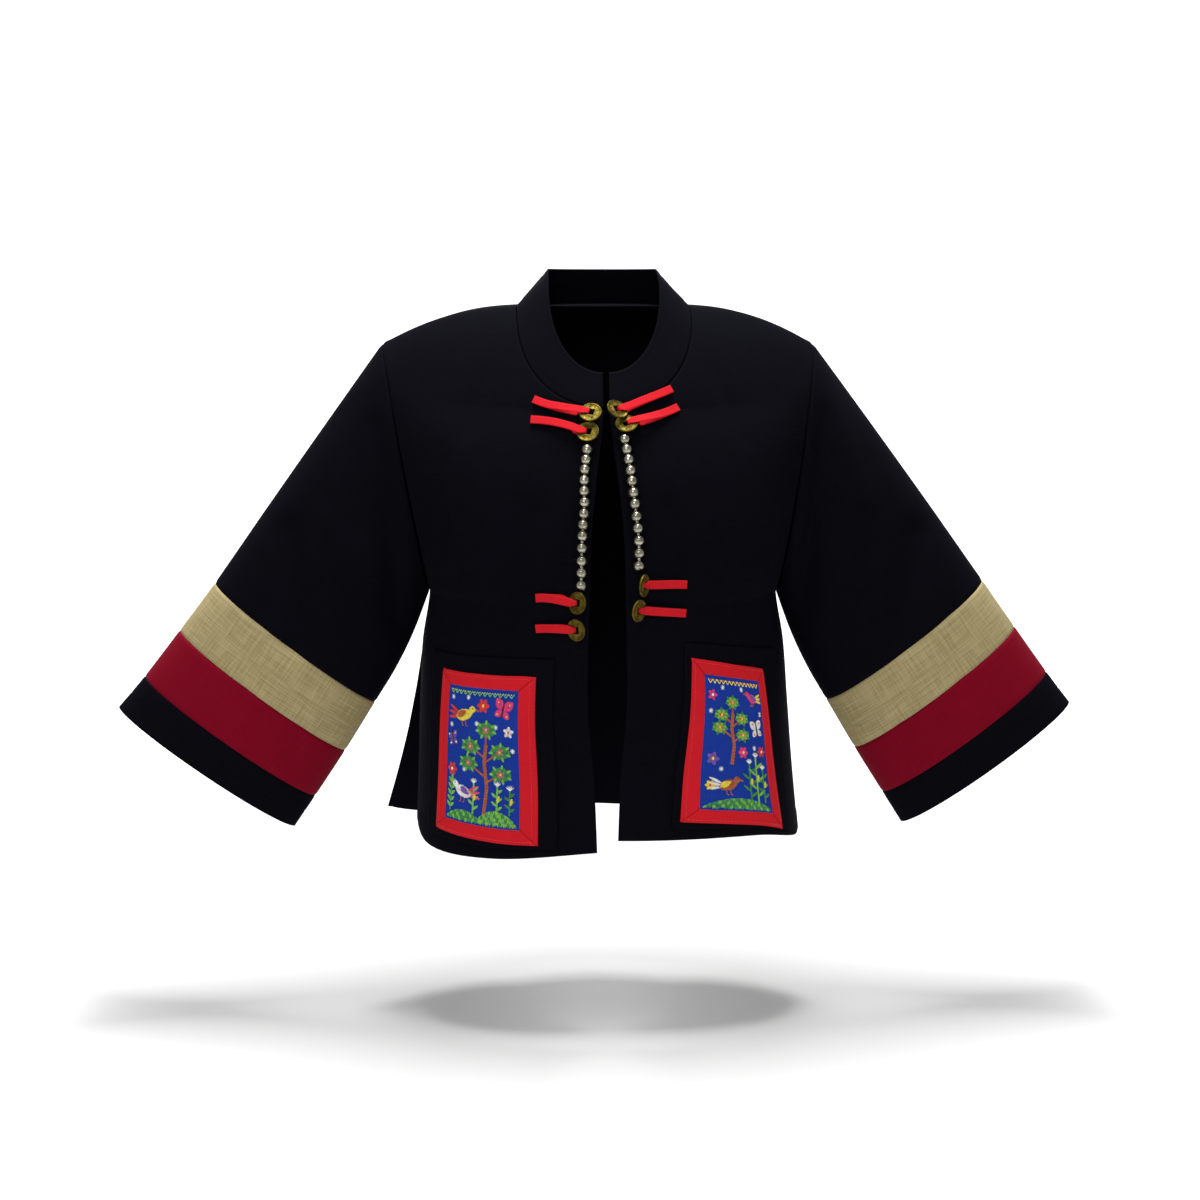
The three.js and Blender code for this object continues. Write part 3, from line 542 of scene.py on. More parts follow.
@dataclass(frozen=True)
class Metal:
    """A metal whose hollows have gone dull."""

    name: str
    colour: str
    dull: str
    roughness: float
    dull_roughness: float
    patch_mm: float

    def build(self) -> bpy.types.Material:
        """Makes the material."""
        material = bpy.data.materials.new(self.name)
        material.use_nodes = True
        tree = material.node_tree
        tree.nodes.clear()
        place = add_node(tree, "TexCoord")
        patch = add_node(tree, "TexNoise", {"Scale": 1 / (self.patch_mm * MM), "Detail": 4.0},
                         {"Vector": place.outputs["Object"]})
        colour = add_node(tree, "Mix", {"A": linear(self.dull), "B": linear(self.colour)}, {}, data_type="RGBA")
        spread = add_node(tree, "MapRange", {"From Min": 0.35, "From Max": 0.65}, {"Value": patch.outputs["Fac"]})
        tree.links.new(spread.outputs[0], colour.inputs["Factor"])
        rough = add_node(tree, "MapRange",
                         {"From Min": 0.35, "From Max": 0.65, "To Min": self.dull_roughness, "To Max": self.roughness},
                         {"Value": patch.outputs["Fac"]})
        shader = add_node(tree, "BsdfPrincipled", {"Metallic": 1.0},
                          {"Base Color": colour.outputs["Result"], "Roughness": rough.outputs[0]})
        add_node(tree, "OutputMaterial", {}, {"Surface": shader.outputs[0]})
        return material


class Finish(Enum):
    """The jacket's materials."""

    # Plain woven cotton dyed black: it swallows light, with a faint cool bloom at its edges.
    BLACK = Cloth("black_cotton", "#0b0a12", "#07070b", 1.1, 1.1, 0.5, 0.95, 0.008, 0.15, "#8088c0", 0.03)
    # Undyed linen: thick and thin threads cross, so fine pale and dark lines run both ways.
    LINEN = Cloth("slubbed_linen", "#aa9c72", "#8d8059", 1.3, 1.5, 0.26, 0.9, 0.08, 0.3, "#e8dcc0")
    # Fine cotton dyed crimson, flat and even.
    CRIMSON = Cloth("crimson_cotton", "#7c001d", "#6e0017", 1.2, 1.3, 0.5, 0.9, 0.01, 0.2, "#e08090")
    # Bright red cotton strip, pressed flat.
    RED = Cloth("red_cotton", "#cf1c28", "#bf1620", 1.0, 1.0, 0.6, 0.85, 0.05, 0.2, "#ff9090")
    # Blue cotton that the embroidery is worked on.
    BLUE = Cloth("blue_cotton", "#183a9c", "#14308a", 1.0, 1.0, 0.5, 0.85, 0.05, 0.25, "#a0b0ff")
    # Stranded thread laid side by side: it catches light along its length.
    THREAD = Thread()
    # Old cast brass: dull olive in the hollows, brighter where it has been rubbed.
    BRASS = Metal("aged_brass", "#766829", "#4a4016", 0.55, 0.7, 6)
    # Bright plated beads with small hard highlights.
    SILVER = Metal("plated_silver", "#bcb9a8", "#8d8a78", 0.2, 0.32, 5)

    def material(self) -> bpy.types.Material:
        """Gives the finish's material, made once."""
        made = bpy.data.materials.get(self.value.name)
        return made or self.value.build()


# ------------------------------------------------------------------ mesh making

def new_object(name: str, mesh: bmesh.types.BMesh, finish: Finish) -> bpy.types.Object:
    """Makes a smooth-shaded object from a bmesh and frees the bmesh."""
    data = bpy.data.meshes.new(name)
    mesh.to_mesh(data)
    mesh.free()
    data.shade_smooth()
    data.materials.append(finish.material())
    thing = bpy.data.objects.new(name, data)
    bpy.context.scene.collection.objects.link(thing)
    return thing


def spread_grid(place: Place, across: int, down: int, outward: Callable[[Vector], Vector],
                relief: Optional[Callable[[float, float], float]] = None,
                closed: bool = False) -> bmesh.types.BMesh:
    """Lays a grid over a surface.

    Args:
        place: gives the surface's point in millimetres at (a, b), each from 0 to 1.
        across: cells along a.
        down: cells along b.
        outward: a rough outward direction at a point.
        relief: how far the cloth stands out at (a, b), in millimetres.
        closed: whether the edges a = 0 and a = 1 are one seam.

    Returns:
        The bmesh in metres, with a UV map named cut that is in metres too.
    """
    mesh = bmesh.new()
    mesh.loops.layers.uv.new("cut")
    bmesh.ops.create_grid(mesh, x_segments=across, y_segments=down, size=0.5, calc_uvs=True)
    uv = mesh.loops.layers.uv["cut"]
    middle = [place(k / 24, 0.5) for k in range(25)]
    length = [place(0.5, k / 24) for k in range(25)]
    wide = sum((b - a).length for a, b in zip(middle, middle[1:])) * MM
    tall = sum((b - a).length for a, b in zip(length, length[1:])) * MM
    share = {}
    for vertex in mesh.verts:
        share[vertex] = (vertex.co.x + 0.5, vertex.co.y + 0.5)
    for face in mesh.faces:
        for loop in face.loops:
            a, b = share[loop.vert]
            loop[uv].uv = (a * wide, b * tall)
    for vertex, (a, b) in share.items():
        vertex.co = place(clamp(a), clamp(b)) * MM
    mesh.normal_update()
    turned = sum(face.normal.dot(outward(face.calc_center_median())) for face in mesh.faces)
    if turned < 0:
        bmesh.ops.reverse_faces(mesh, faces=mesh.faces)
        mesh.normal_update()
    if relief:
        moves = {vertex: vertex.normal * relief(*share[vertex]) * MM for vertex in mesh.verts}
        for vertex, move in moves.items():
            vertex.co += move
    if closed:
        bmesh.ops.remove_doubles(mesh, verts=mesh.verts, dist=2e-6)
    return mesh


def thicken(thing: bpy.types.Object, thickness_mm: float) -> None:
    """Gives a cloth sheet its thickness, inwards."""
    wall = thing.modifiers.new("thickness", "SOLIDIFY")
    wall.thickness = thickness_mm * MM
    wall.offset = -1
    wall.use_even_offset = False


def settle(thing: bpy.types.Object, slot: str, *nodes: str) -> bpy.types.Object:
    """Makes a finished piece ride on the part and stand for its CAD nodes."""
    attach(thing, "root")
    if nodes:
        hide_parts(*nodes)
    LOG.info("%s: %d faces", thing.name, len(thing.data.polygons))
    return thing


# ------------------------------------------------------------------ the body, sleeves and collar

@dataclass
class Body:
    """The back, the two fronts and the collar."""

    cloth_mm: float = 1.8
    hem_mm: float = 20

    def build(self) -> None:
        """Makes the body's cloth pieces."""
        self.back()
        for side in SIDES:
            self.front(side)
        self.collar()

    def edge_relief(self, to_side: float, to_hem: float) -> float:
        """The relief near a seam and the hem, from the distances to them in millimetres."""
        seam = -1.0 * bump(to_side, 2.6) + 0.5 * bump(to_side - 7, 4)
        hem = 0.5 * (1 - smooth(self.hem_mm - 2, self.hem_mm + 2, to_hem)) - 0.5 * bump(to_hem - self.hem_mm, 1.6)
        return seam + hem

    def back(self) -> None:
        """Makes the back, from side seam to side seam."""
        def place(a: float, b: float) -> Vector:
            """The back's surface."""
            side = LEFT if a < 0.5 else RIGHT
            return FORM.body(side, BACK, abs(2 * a - 1), 2 * b)

        mesh = spread_grid(
            place, 120, 110, lambda p: Vector((0, 1, 0.2)),
            lambda a, b: self.edge_relief(210 * (1 - abs(2 * a - 1)), 500 * (1 - b)))
        back = new_object("jacket_back", mesh, Finish.BLACK)
        thicken(back, self.cloth_mm)
        settle(back, "black_cloth", "back_panel")

    def front(self, side: Side) -> None:
        """Makes one front, from its free edge to the side seam."""
        mesh = spread_grid(
            lambda a, b: FORM.body(side, FRONT, a, 2 * b), 76, 120,
            lambda p: Vector((0, -1, 0.2)),
            lambda a, b: self.edge_relief(230 * (1 - a), 520 * (1 - b)) - 0.5 * bump(230 * a - 26, 1.6) * smooth(0.17, 0.2, b))
        front = new_object(f"jacket_front_{side.name}", mesh, Finish.BLACK)
        thicken(front, self.cloth_mm)
        settle(front, "black_cloth", f"front_{side.name}")

    def collar(self) -> None:
        """Makes the stand collar, open at the front."""
        def outward(point: Vector) -> Vector:
            """Away from the neck's middle."""
            return Vector((point.x, point.y, 0.01))

        mesh = spread_grid(
            lambda a, b: FORM.collar(4 * a, b), 160, 14, outward,
            lambda a, b: -0.8 * bump(38 * b, 2.2) - 0.45 * bump(38 * b - 5, 1.2) - 0.45 * bump(38 * (1 - b) - 5, 1.2))
        collar = new_object("jacket_collar", mesh, Finish.BLACK)
        thicken(collar, self.cloth_mm)
        settle(collar, "black_cloth", "collar")


class Stretch(Enum):
    """The stretches of a sleeve: piece, its node, where it starts and ends, cells along it, finish and slot."""

    MAIN = ("sleeve", 0, 3, 66, Finish.BLACK, "black_cloth")
    BEIGE = ("band_beige", 3, 4, 26, Finish.LINEN, "beige_linen")
    CRIMSON = ("band_crimson", 4, 5, 26, Finish.CRIMSON, "crimson_cloth")
    CUFF = ("cuff", 5, 6, 26, Finish.BLACK, "black_cloth")


@dataclass
class Sleeve:
    """One sleeve with its bands and cuff."""

    side: Side
    cloth_mm: float = 1.8

    def build(self) -> None:
        """Makes the sleeve's pieces."""
        for stretch in Stretch:
            self.piece(*stretch.value)

    def piece(self, name: str, start: float, stop: float, cells: int, finish: Finish, slot: str) -> None:
        """Makes one stretch of the sleeve, a tube sewn along the underarm."""
        side = self.side

        def place(a: float, b: float) -> Vector:
            """The sleeve's surface."""
            return FORM.sleeve(side, lerp(start, stop, b), math.pi * (2 * a - 1))

        def outward(point: Vector) -> Vector:
            """Away from the sleeve's middle line."""
            middle = Vector((point.x, 0, point.z))
            return point - middle + Vector((0, 1e-5, 0))

        long = 105 * (stop - start) if name == "sleeve" else 60 * (stop - start)

        def relief(a: float, b: float) -> float:
            """Seams at both ends, the underarm seam and a hem at the cuff."""
            seam = -0.9 * bump(long * b, 1.8)
            seam -= 0.9 * bump(long * (1 - b), 1.8) if name != "cuff" else 0.4 * bump(long * (1 - b) - 30, 1.5)
            under = -0.7 * bump(500 * min(a, 1 - a), 2.4)
            return seam + under

        mesh = spread_grid(place, 132, cells, outward, relief, closed=True)
        piece = new_object(f"{name}_cloth_{side.name}", mesh, finish)
        thicken(piece, self.cloth_mm)
        settle(piece, slot, f"{name}_{side.name}")


# ------------------------------------------------------------------ pockets

@dataclass(frozen=True)
class Corners:
    """The corners of what lies on a front, seen from the front."""

    top_in: tuple
    top_out: tuple
    low_in: tuple
    low_out: tuple


PANELS = {
    "left": Corners((-70, -362), (-161, -358), (-69, -531), (-170, -522)),
    "right": Corners((83, -343), (156, -360), (72, -508), (179, -528)),
}
POCKETS = {
    "left": Corners((-52, -344), (-172, -342), (-50, -535), (-180, -526)),
    "right": Corners((76, -328), (170, -342), (64, -515), (189, -532)),
}


class Patch:
    """A place on a front between four corners."""

    def __init__(self, side: Side, corners: Corners) -> None:
        """Finds the corners on the front.

        Args:
            side: left or right.
            corners: its corners seen from the front.
        """
        self.side = side
        self.at = [FORM.seen(side, *corner) for corner in
                   (corners.top_in, corners.top_out, corners.low_in, corners.low_out)]

    def share(self, a: float, b: float) -> tuple[float, float]:
        """The front's (s, v) at a share across (from the middle out) and down."""
        return tuple(lerp(lerp(self.at[0][k], self.at[1][k], a), lerp(self.at[2][k], self.at[3][k], a), b)
                     for k in (0, 1))

    def point(self, a: float, b: float) -> Vector:
        """The place on the front at (a, b)."""
        return FORM.body(self.side, FRONT, *self.share(a, b))

    def normal(self, a: float, b: float) -> Vector:
        """The outward normal at (a, b)."""
        return FORM.front_normal(self.side, *self.share(a, b))


@dataclass
class Pocket:
    """A patch pocket with its framed panel."""

    side: Side
    lift_mm: float = 0.9
    pocket_mm: float = 1.2
    panel_mm: float = 1.1
    border_mm: float = 1.4
    share_across: float = 0.145
    share_down: float = 0.092
    ground_wide: dict = field(default_factory=lambda: {"left": 86, "right": 78})

    def build(self) -> None:
        """Makes the pocket, the panel's ground, its border and its embroidery."""
        name = self.side.name
        pocket_top = self.lift_mm + self.pocket_mm
        ground_top = pocket_top + self.lift_mm + self.panel_mm
        border_top = pocket_top + self.lift_mm + self.border_mm
        patch = Patch(self.side, POCKETS[name])
        pocket = self.laid(
            f"pocket_cloth_{name}", patch.point, 56, 76, self.pocket_mm, Finish.BLACK,
            lambda a, b: (pocket_top - 0.5 * bump(min(128 * min(a, 1 - a), 180 * (1 - b)) - 4, 1.1)
                          - 0.4 * bump(180 * b - 16, 1.2)))
        settle(pocket, "black_cloth", f"pocket_{name}")
        panel = Patch(self.side, PANELS[name])
        a0, b0 = self.share_across, self.share_down

        def ground_place(a: float, b: float) -> Vector:
            """The ground's surface."""
            return panel.point(lerp(a0 - 0.01, 1.01 - a0, a), lerp(b0 - 0.01, 1.01 - b0, b))

        ground = self.laid(f"panel_ground_{name}", ground_place, 50, 76, self.panel_mm, Finish.BLUE,
                           lambda a, b: ground_top + 0.25 * math.sin(19 * a + 4 * b) * math.sin(27 * b - 3 * a))
        settle(ground, "blue_ground", f"ground_{name}")
        self.borders(panel, border_top)
        Embroidery(self.side, panel, ground_top, border_top - ground_top, a0, b0, self.ground_wide[name]).build()

    def laid(self, name: str, place: Place, across: int, down: int, thick: float, finish: Finish,
             relief: Optional[Callable[[float, float], float]] = None) -> bpy.types.Object:
        """Makes one flat piece that lies on the front."""
        mesh = spread_grid(place, across, down, lambda p: Vector((0, -1, 0)), relief)
        piece = new_object(name, mesh, finish)
        thicken(piece, thick)
        return piece

    def borders(self, panel: Patch, top: float) -> None:
        """Makes the four border strips, with slanted ends that meet in mitres."""
        wide, tall = self.share_across, self.share_down
        strips = {
            "top": (wide, lambda t, deep: (t, deep * tall)),
            "low": (wide, lambda t, deep: (t, 1 - deep * tall)),
            "inner": (tall, lambda t, deep: (deep * wide, t)),
            "outer": (tall, lambda t, deep: (1 - deep * wide, t)),
        }
        for name, (slant, turn) in strips.items():
            def place(a: float, b: float, slant: float = slant, turn: Callable = turn) -> Vector:
                """The strip's surface; b runs from its outer edge in."""
                inset = slant * b
                return panel.point(*turn(lerp(inset, 1 - inset, a), b))

            def relief(a: float, b: float) -> float:
                """Pressed edges and the mitres' creases."""
                edge = -0.9 * bump(min(b, 1 - b) * 15, 1.2)
                return top + edge - 0.8 * bump(min(a, 1 - a) * 150, 1.2)

            strip = self.laid(f"border_strip_{name}_{self.side.name}", place, 90, 18, self.border_mm, Finish.RED, relief)
            settle(strip, "red_border", f"border_{name}_{self.side.name}")


# ------------------------------------------------------------------ embroidery

class Dye(Enum):
    """The thread colours."""

    GREEN = "#2f8a3c"
    LEAF = "#7cc242"
    YELLOW = "#ecd83a"
    PINK = "#e8307c"
    RUST = "#b4581e"
    WHITE = "#f0efe8"
    INK = "#101018"
    PURPLE = "#7a4fb0"
    RED = "#d8242c"
    SKY = "#58a8e0"


@dataclass
class Embroidery:
    """Thread work on one panel: flowering trees, birds, butterflies and leaf sprays on a hill.

    Places are in millimetres on the flat cloth from the panel's middle, x to the right and y up.
    """

    side: Side
    panel: Patch
    top_mm: float
    border_rise_mm: float
    share_across: float
    share_down: float
    wide_mm: float
    tall_mm: float = 132
    pitch_mm: float = 0.95
    thread_mm: float = 1.15
    longest_mm: float = 7
    net_across: int = 30
    net_down: int = 44
    batch_size: int = 24

    def build(self) -> None:
        """Works the design and the border's stitches in one mesh."""
        self.net = [[(self.panel.point(i / self.net_across, j / self.net_down),
                      self.panel.normal(i / self.net_across, j / self.net_down))
                     for j in range(self.net_down + 1)] for i in range(self.net_across + 1)]
        self.mesh = bmesh.new()
        self.mesh.verts.layers.float_color.new("dye")
        self.start_batch()
        self.random = random.Random(7 if self.side is LEFT else 11)
        if self.side is LEFT:
            self.left_design()
        else:
            self.right_design()
        self.border_stitches()
        self.end_batch()
        work = new_object(f"embroidery_{self.side.name}", self.mesh, Finish.THREAD)
        settle(work, "blue_ground")

    def start_batch(self) -> None:
        """Starts a small mesh for the next few stitches, which is quicker than one large one."""
        self.batch = bmesh.new()
        self.dye = self.batch.verts.layers.float_color.new("dye")
        self.batched = 0

    def end_batch(self) -> None:
        """Adds the small mesh's stitches to the whole."""
        part = bpy.data.meshes.new("stitches")
        self.batch.to_mesh(part)
        self.batch.free()
        self.mesh.from_mesh(part)
        bpy.data.meshes.remove(part)

    def place(self, x: float, y: float, height: float) -> Vector:
        """A point on the panel, raised off its ground."""
        full_wide = self.wide_mm / (1 - 2 * self.share_across)
        full_tall = self.tall_mm / (1 - 2 * self.share_down)
        across = clamp(0.5 + self.side.sign * x / full_wide) * self.net_across
        down = clamp(0.5 - y / full_tall) * self.net_down
        i, j = min(self.net_across - 1, int(across)), min(self.net_down - 1, int(down))
        near, far = self.net[i], self.net[i + 1]
        point, normal = (near[j][k].lerp(far[j][k], across - i).lerp(
            near[j + 1][k].lerp(far[j + 1][k], across - i), down - j) for k in (0, 1))
        return point + normal * (self.top_mm + height)

    def stitch(self, x0: float, y0: float, x1: float, y1: float, dye: Dye, height: float = 0.25,
               thread: float = 0.0, on_border: bool = False) -> None:
        """Lays one stitch from (x0, y0) to (x1, y1), if it is inside the panel or holds its border."""
        if max(abs(x0), abs(x1)) > self.wide_mm / 2 - 1.5 and not on_border:
            return
        start, stop = self.place(x0, y0, height), self.place(x1, y1, height)
        run = stop - start
        if run.length < 0.2:
            return
        across = run.cross(Vector((0, -1, 0))).normalized()
        out = across.cross(run).normalized()
        if out.y > 0:
            out = -out
        half = (thread or self.thread_mm) / 2
        axes = (across * half, run / 2 + run.normalized() * 0.3, out * 0.75 * half)
        turn = Matrix([axis * MM for axis in axes]).transposed().to_4x4()
        self.batched += 1
        if self.batched > self.batch_size:
            self.end_batch()
            self.start_batch()
        made = bmesh.ops.create_uvsphere(
            self.batch, u_segments=6, v_segments=4, radius=1.0,
            matrix=Matrix.Translation((start + stop) / 2 * MM) @ turn @ Matrix.Rotation(math.pi / 2, 4, "X"))
        shade = self.random.uniform(0.84, 1.1)
        colour = [c * shade for c in linear(dye.value)[:3]] + [1.0]
        for vertex in made["verts"]:
            vertex[self.dye] = colour

    def line(self, points: Sequence[tuple], dye: Dye, width: float = 1.0, step: float = 2.4) -> None:
        """Works a line of short stitches through some points, side by side if it is wide."""
        rows = max(1, round(width / self.pitch_mm))
        for (x0, y0), (x1, y1) in zip(points, points[1:]):
            run = math.hypot(x1 - x0, y1 - y0)
            count = max(1, round(run / step))
            nx, ny = -(y1 - y0) / run, (x1 - x0) / run
            for row in range(rows):
                off = (row - (rows - 1) / 2) * self.pitch_mm
                for k in range(count):
                    t0, t1 = k / count, (k + 1) / count
                    self.stitch(lerp(x0, x1, t0) + nx * off, lerp(y0, y1, t0) + ny * off,
                                lerp(x0, x1, t1) + nx * off, lerp(y0, y1, t1) + ny * off, dye)

    def oval(self, x: float, y: float, long: float, wide: float, turn: float, dye: Dye,
             point: float = 1.0, split: bool = False, height: float = 0.35) -> None:
        """Fills an oval or leaf with satin stitches laid across it.

        Args:
            x: its middle, to the right.
            y: its middle, up.
            long: its length.
            wide: its width.
            turn: the angle of its length in degrees.
            dye: thread colour.
            point: 0.5 for a full oval, 1 for a leaf.
            split: whether a vein parts the stitches.
            height: how high the threads lie.
        """
        c, s = math.cos(math.radians(turn)), math.sin(math.radians(turn))
        count = max(2, round(long / self.pitch_mm))
        for k in range(count):
            t = (k + 0.5) / count
            reach = (t - 0.5) * long
            half = wide / 2 * math.sin(math.pi * t) ** point * self.random.uniform(0.93, 1.05)
            slant = 0.35 * half if split else 0.0
            pieces = 2 if split else max(1, math.ceil(2 * half / self.longest_mm))
            nudge = self.random.uniform(-0.12, 0.12) if pieces > 1 and not split else 0.0
            for part in range(pieces):
                from_share = part / pieces + (nudge if part else 0)
                to_share = (part + 1) / pieces + (nudge if part + 1 < pieces else 0)
                w0, w1 = half * (2 * from_share - 1), half * (2 * to_share - 1)
                l0, l1 = (-slant * abs(2 * share - 1) for share in (from_share, to_share))
                if abs(w1 - w0) > 0.5:
                    self.stitch(x + c * (reach + l0) - s * w0, y + s * (reach + l0) + c * w0,
                                x + c * (reach + l1) - s * w1, y + s * (reach + l1) + c * w1, dye, height)

    def flower(self, x: float, y: float, size: float, petals: int, dye: Dye, heart: Dye = Dye.YELLOW,
               turn: float = 0.0) -> None:
        """Works a flower of satin petals with a knotted heart."""
        for k in range(petals):
            angle = turn + 360 * k / petals
            reach = size * 0.3
            self.oval(x + reach * math.cos(math.radians(angle)), y + reach * math.sin(math.radians(angle)),
                      size * 0.52, size * 0.38, angle, dye, 0.6)
        self.knot(x, y, heart, size * 0.12 + 0.5)

    def knot(self, x: float, y: float, dye: Dye, radius: float = 0.8) -> None:
        """Works a round knot."""
        self.stitch(x - radius * 0.5, y, x + radius * 0.5, y, dye, 0.7, radius * 2)

    def spray(self, x: float, y: float, turn: float, pairs: int, size: float, dye: Dye,
              stem: Dye = Dye.GREEN) -> None:
        """Works a stem with pairs of leaves and one at its tip."""
        c, s = math.cos(math.radians(turn)), math.sin(math.radians(turn))
        reach = size * 0.8 * pairs
        self.line([(x, y), (x + c * reach, y + s * reach)], stem, 1.6)
        for k in range(pairs):
            step = size * 0.8 * (k + 0.6)
            for hand in (-1, 1):
                angle = turn + hand * 46
                self.oval(x + c * step + 0.45 * size * math.cos(math.radians(angle)),
                          y + s * step + 0.45 * size * math.sin(math.radians(angle)),
                          size * 0.9, size * 0.4, angle, dye, 0.9)
        self.oval(x + c * (reach + 0.4 * size), y + s * (reach + 0.4 * size), size, size * 0.42, turn, dye, 0.9)

    def butterfly(self, x: float, y: float, size: float, turn: float, wing: Dye, spot: Dye) -> None:
        """Works a butterfly with four wings, a dark body and feelers."""
        for angle, share in ((48, 1.0), (132, 1.0), (-42, 0.74), (-138, 0.74)):
            direction = math.radians(turn + angle)
            reach = 0.32 * size * share + 0.6
            self.oval(x + reach * math.cos(direction), y + reach * math.sin(direction),
                      size * 0.6 * share, size * 0.46 * share, turn + angle, wing, 0.6)
            self.knot(x + 1.3 * reach * math.cos(direction), y + 1.3 * reach * math.sin(direction), spot, 1.1)
        self.oval(x, y, size * 0.66, 2.2, turn + 90, Dye.INK, 0.5, height=0.8)
        for hand in (-1, 1):
            angle = math.radians(turn + 90 - hand * 24)
            tip = math.radians(turn + 90)
            x0, y0 = x + 0.3 * size * math.cos(tip), y + 0.3 * size * math.sin(tip)
            self.line([(x0, y0), (x0 + 4 * math.cos(angle), y0 + 4 * math.sin(angle))], Dye.INK)

    def bird(self, x: float, y: float, size: float, hand: int, body: Dye, wing: Dye, tail: Dye) -> None:
        """Works a bird that faces right (hand 1) or left (hand -1)."""
        for lift in (-8, 8, 24):
            angle = math.radians(180 - lift if hand > 0 else lift)
            self.oval(x + 0.58 * size * math.cos(angle), y + 0.58 * size * math.sin(angle) - 0.06 * size,
                      size * 0.56, size * 0.13, math.degrees(angle), tail, 0.7)
        self.oval(x, y, size * 0.86, size * 0.46, hand * 14, body, 0.55)
        self.oval(x + hand * 0.42 * size, y + 0.24 * size, size * 0.3, size * 0.28, 0, body, 0.5, height=0.5)
        self.oval(x - hand * 0.1 * size, y + 0.04 * size, size * 0.5, size * 0.26, hand * 26, wing, 0.8, True, 0.9)
        self.line([(x + hand * 0.55 * size, y + 0.25 * size), (x + hand * 0.72 * size, y + 0.2 * size)], Dye.RUST, 1.9)
        self.knot(x + hand * 0.45 * size, y + 0.28 * size, Dye.INK, 0.8)
        for step in (-0.08, 0.1):
            foot = (x + hand * (step + 0.02) * size, y - 0.4 * size)
            self.line([(x + hand * step * size, y - 0.2 * size), foot, (foot[0] + hand * 2, foot[1] - 0.3)], Dye.RUST)

    def star(self, x: float, y: float, size: float, dye: Dye) -> None:
        """Works a star of crossing stitches."""
        for k in range(4):
            angle = math.pi * k / 4
            dx, dy = size / 2 * math.cos(angle), size / 2 * math.sin(angle)
            self.stitch(x - dx, y - dy, x + dx, y + dy, dye, 0.3, 0.9)

    def hill(self, x0: float, x1: float, low: float, rise: float, dye: Dye, other: Dye) -> None:
        """Fills a mound with upright stitches in two greens."""
        count = max(2, round((x1 - x0) / self.pitch_mm))
        for k in range(count + 1):
            t = k / count
            x = lerp(x0, x1, t)
            top = low + rise * math.sin(math.pi * t) ** 0.7
            y = low - self.random.uniform(0, 2)
            row = 0
            while y < top - 0.8:
                long = min(self.random.uniform(3.2, 4.6), top - y)
                self.stitch(x, y, x, y + long, other if (row + k // 3) % 3 == 0 else dye, 0.22)
                y += long
                row += 1

    def edging(self, dye: Dye, other: Dye) -> None:
        """Works a zigzag with knots along the panel's upper edge."""
        y, count = self.tall_mm / 2 - 2.6, 13
        step = (self.wide_mm - 6) / count
        for k in range(count):
            x = -self.wide_mm / 2 + 3 + k * step
            self.line([(x, y), (x + step / 2, y - 4)], dye)
            self.line([(x + step / 2, y - 4), (x + step, y)], dye)
            self.knot(x + step / 2, y - 0.6, other, 0.8)

    def tree(self, x: float, y: float, tall: float, leaf: Dye, shade: Dye, bloom: Dye) -> None:
        """Works a tree with a bent trunk, round crowns and blossom."""
        bend = [(x - 1, y), (x + 2, y + tall * 0.3), (x - 1, y + tall * 0.58), (x + 1, y + tall * 0.8)]
        self.line(bend, Dye.RUST, 3.8, 3.0)
        arms = ((0.36, 30, 0.2), (0.42, 150, 0.26), (0.6, 34, 0.2), (0.64, 150, 0.22), (0.8, 88, 0.14))
        for share, angle, long in arms:
            x0, y0 = x + 0.6, y + tall * share
            c, s = math.cos(math.radians(angle)), math.sin(math.radians(angle))
            reach = tall * long
            self.line([(x0, y0), (x0 + c * reach, y0 + s * reach)], Dye.RUST, 1.9)
            x1, y1 = x0 + c * (reach + 2), y0 + s * (reach + 2)
            self.oval(x1, y1, tall * 0.25, tall * 0.17, 0, leaf, 0.5)
            for k in range(7):
                turn = math.radians(angle + 51 * k)
                self.oval(x1 + tall * 0.115 * math.cos(turn), y1 + tall * 0.085 * math.sin(turn),
                          4.6, 2.6, math.degrees(turn), shade, 0.8, height=0.7)
            self.flower(x1, y1, 7.5, 5, bloom, turn=angle)

    def plant(self, x: float, y: float, tall: float, dye: Dye, ear: Dye) -> None:
        """Works a tall plant with arching leaves and a tasselled top."""
        self.line([(x, y), (x + 0.6, y + tall)], dye, 1.9)
        for share, hand in ((0.15, 1), (0.3, -1), (0.45, 1), (0.6, -1), (0.75, 1)):
            y0, long = y + tall * share, tall * 0.24
            self.oval(x + hand * long * 0.45, y0 + long * 0.3, long, 2.8, 90 - hand * 56, dye, 0.8)
        for angle in (40, 65, 90, 115, 140):
            turn = math.radians(angle)
            self.stitch(x + 0.6, y + tall, x + 0.6 + 5 * math.cos(turn), y + tall + 5 * math.sin(turn), ear, 0.4)
        self.oval(x + 2, y + tall * 0.55, 6.5, 3.2, 80, Dye.YELLOW, 0.6, height=0.9)

    def border_stitches(self) -> None:
        """Works the small hemming stitches that hold the border's inner edge, and a line round its middle."""
        for inset, long, gap in ((-1.2, 1.7, 2.6), (-12.0, 2.2, 3.4)):
            half_x, half_y = self.wide_mm / 2 - inset, self.tall_mm / 2 - inset
            corners = ((-half_x, half_y), (half_x, half_y), (half_x, -half_y), (-half_x, -half_y))
            for k in range(4):
                (x0, y0), (x1, y1) = corners[k], corners[(k + 1) % 4]
                run = math.hypot(x1 - x0, y1 - y0)
                for n in range(int(run / gap)):
                    t0, t1 = n * gap / run, (n * gap + long) / run
                    self.stitch(lerp(x0, x1, t0), lerp(y0, y1, t0), lerp(x0, x1, t1), lerp(y0, y1, t1),
                                Dye.RED, self.border_rise_mm + 0.02, 0.55, True)

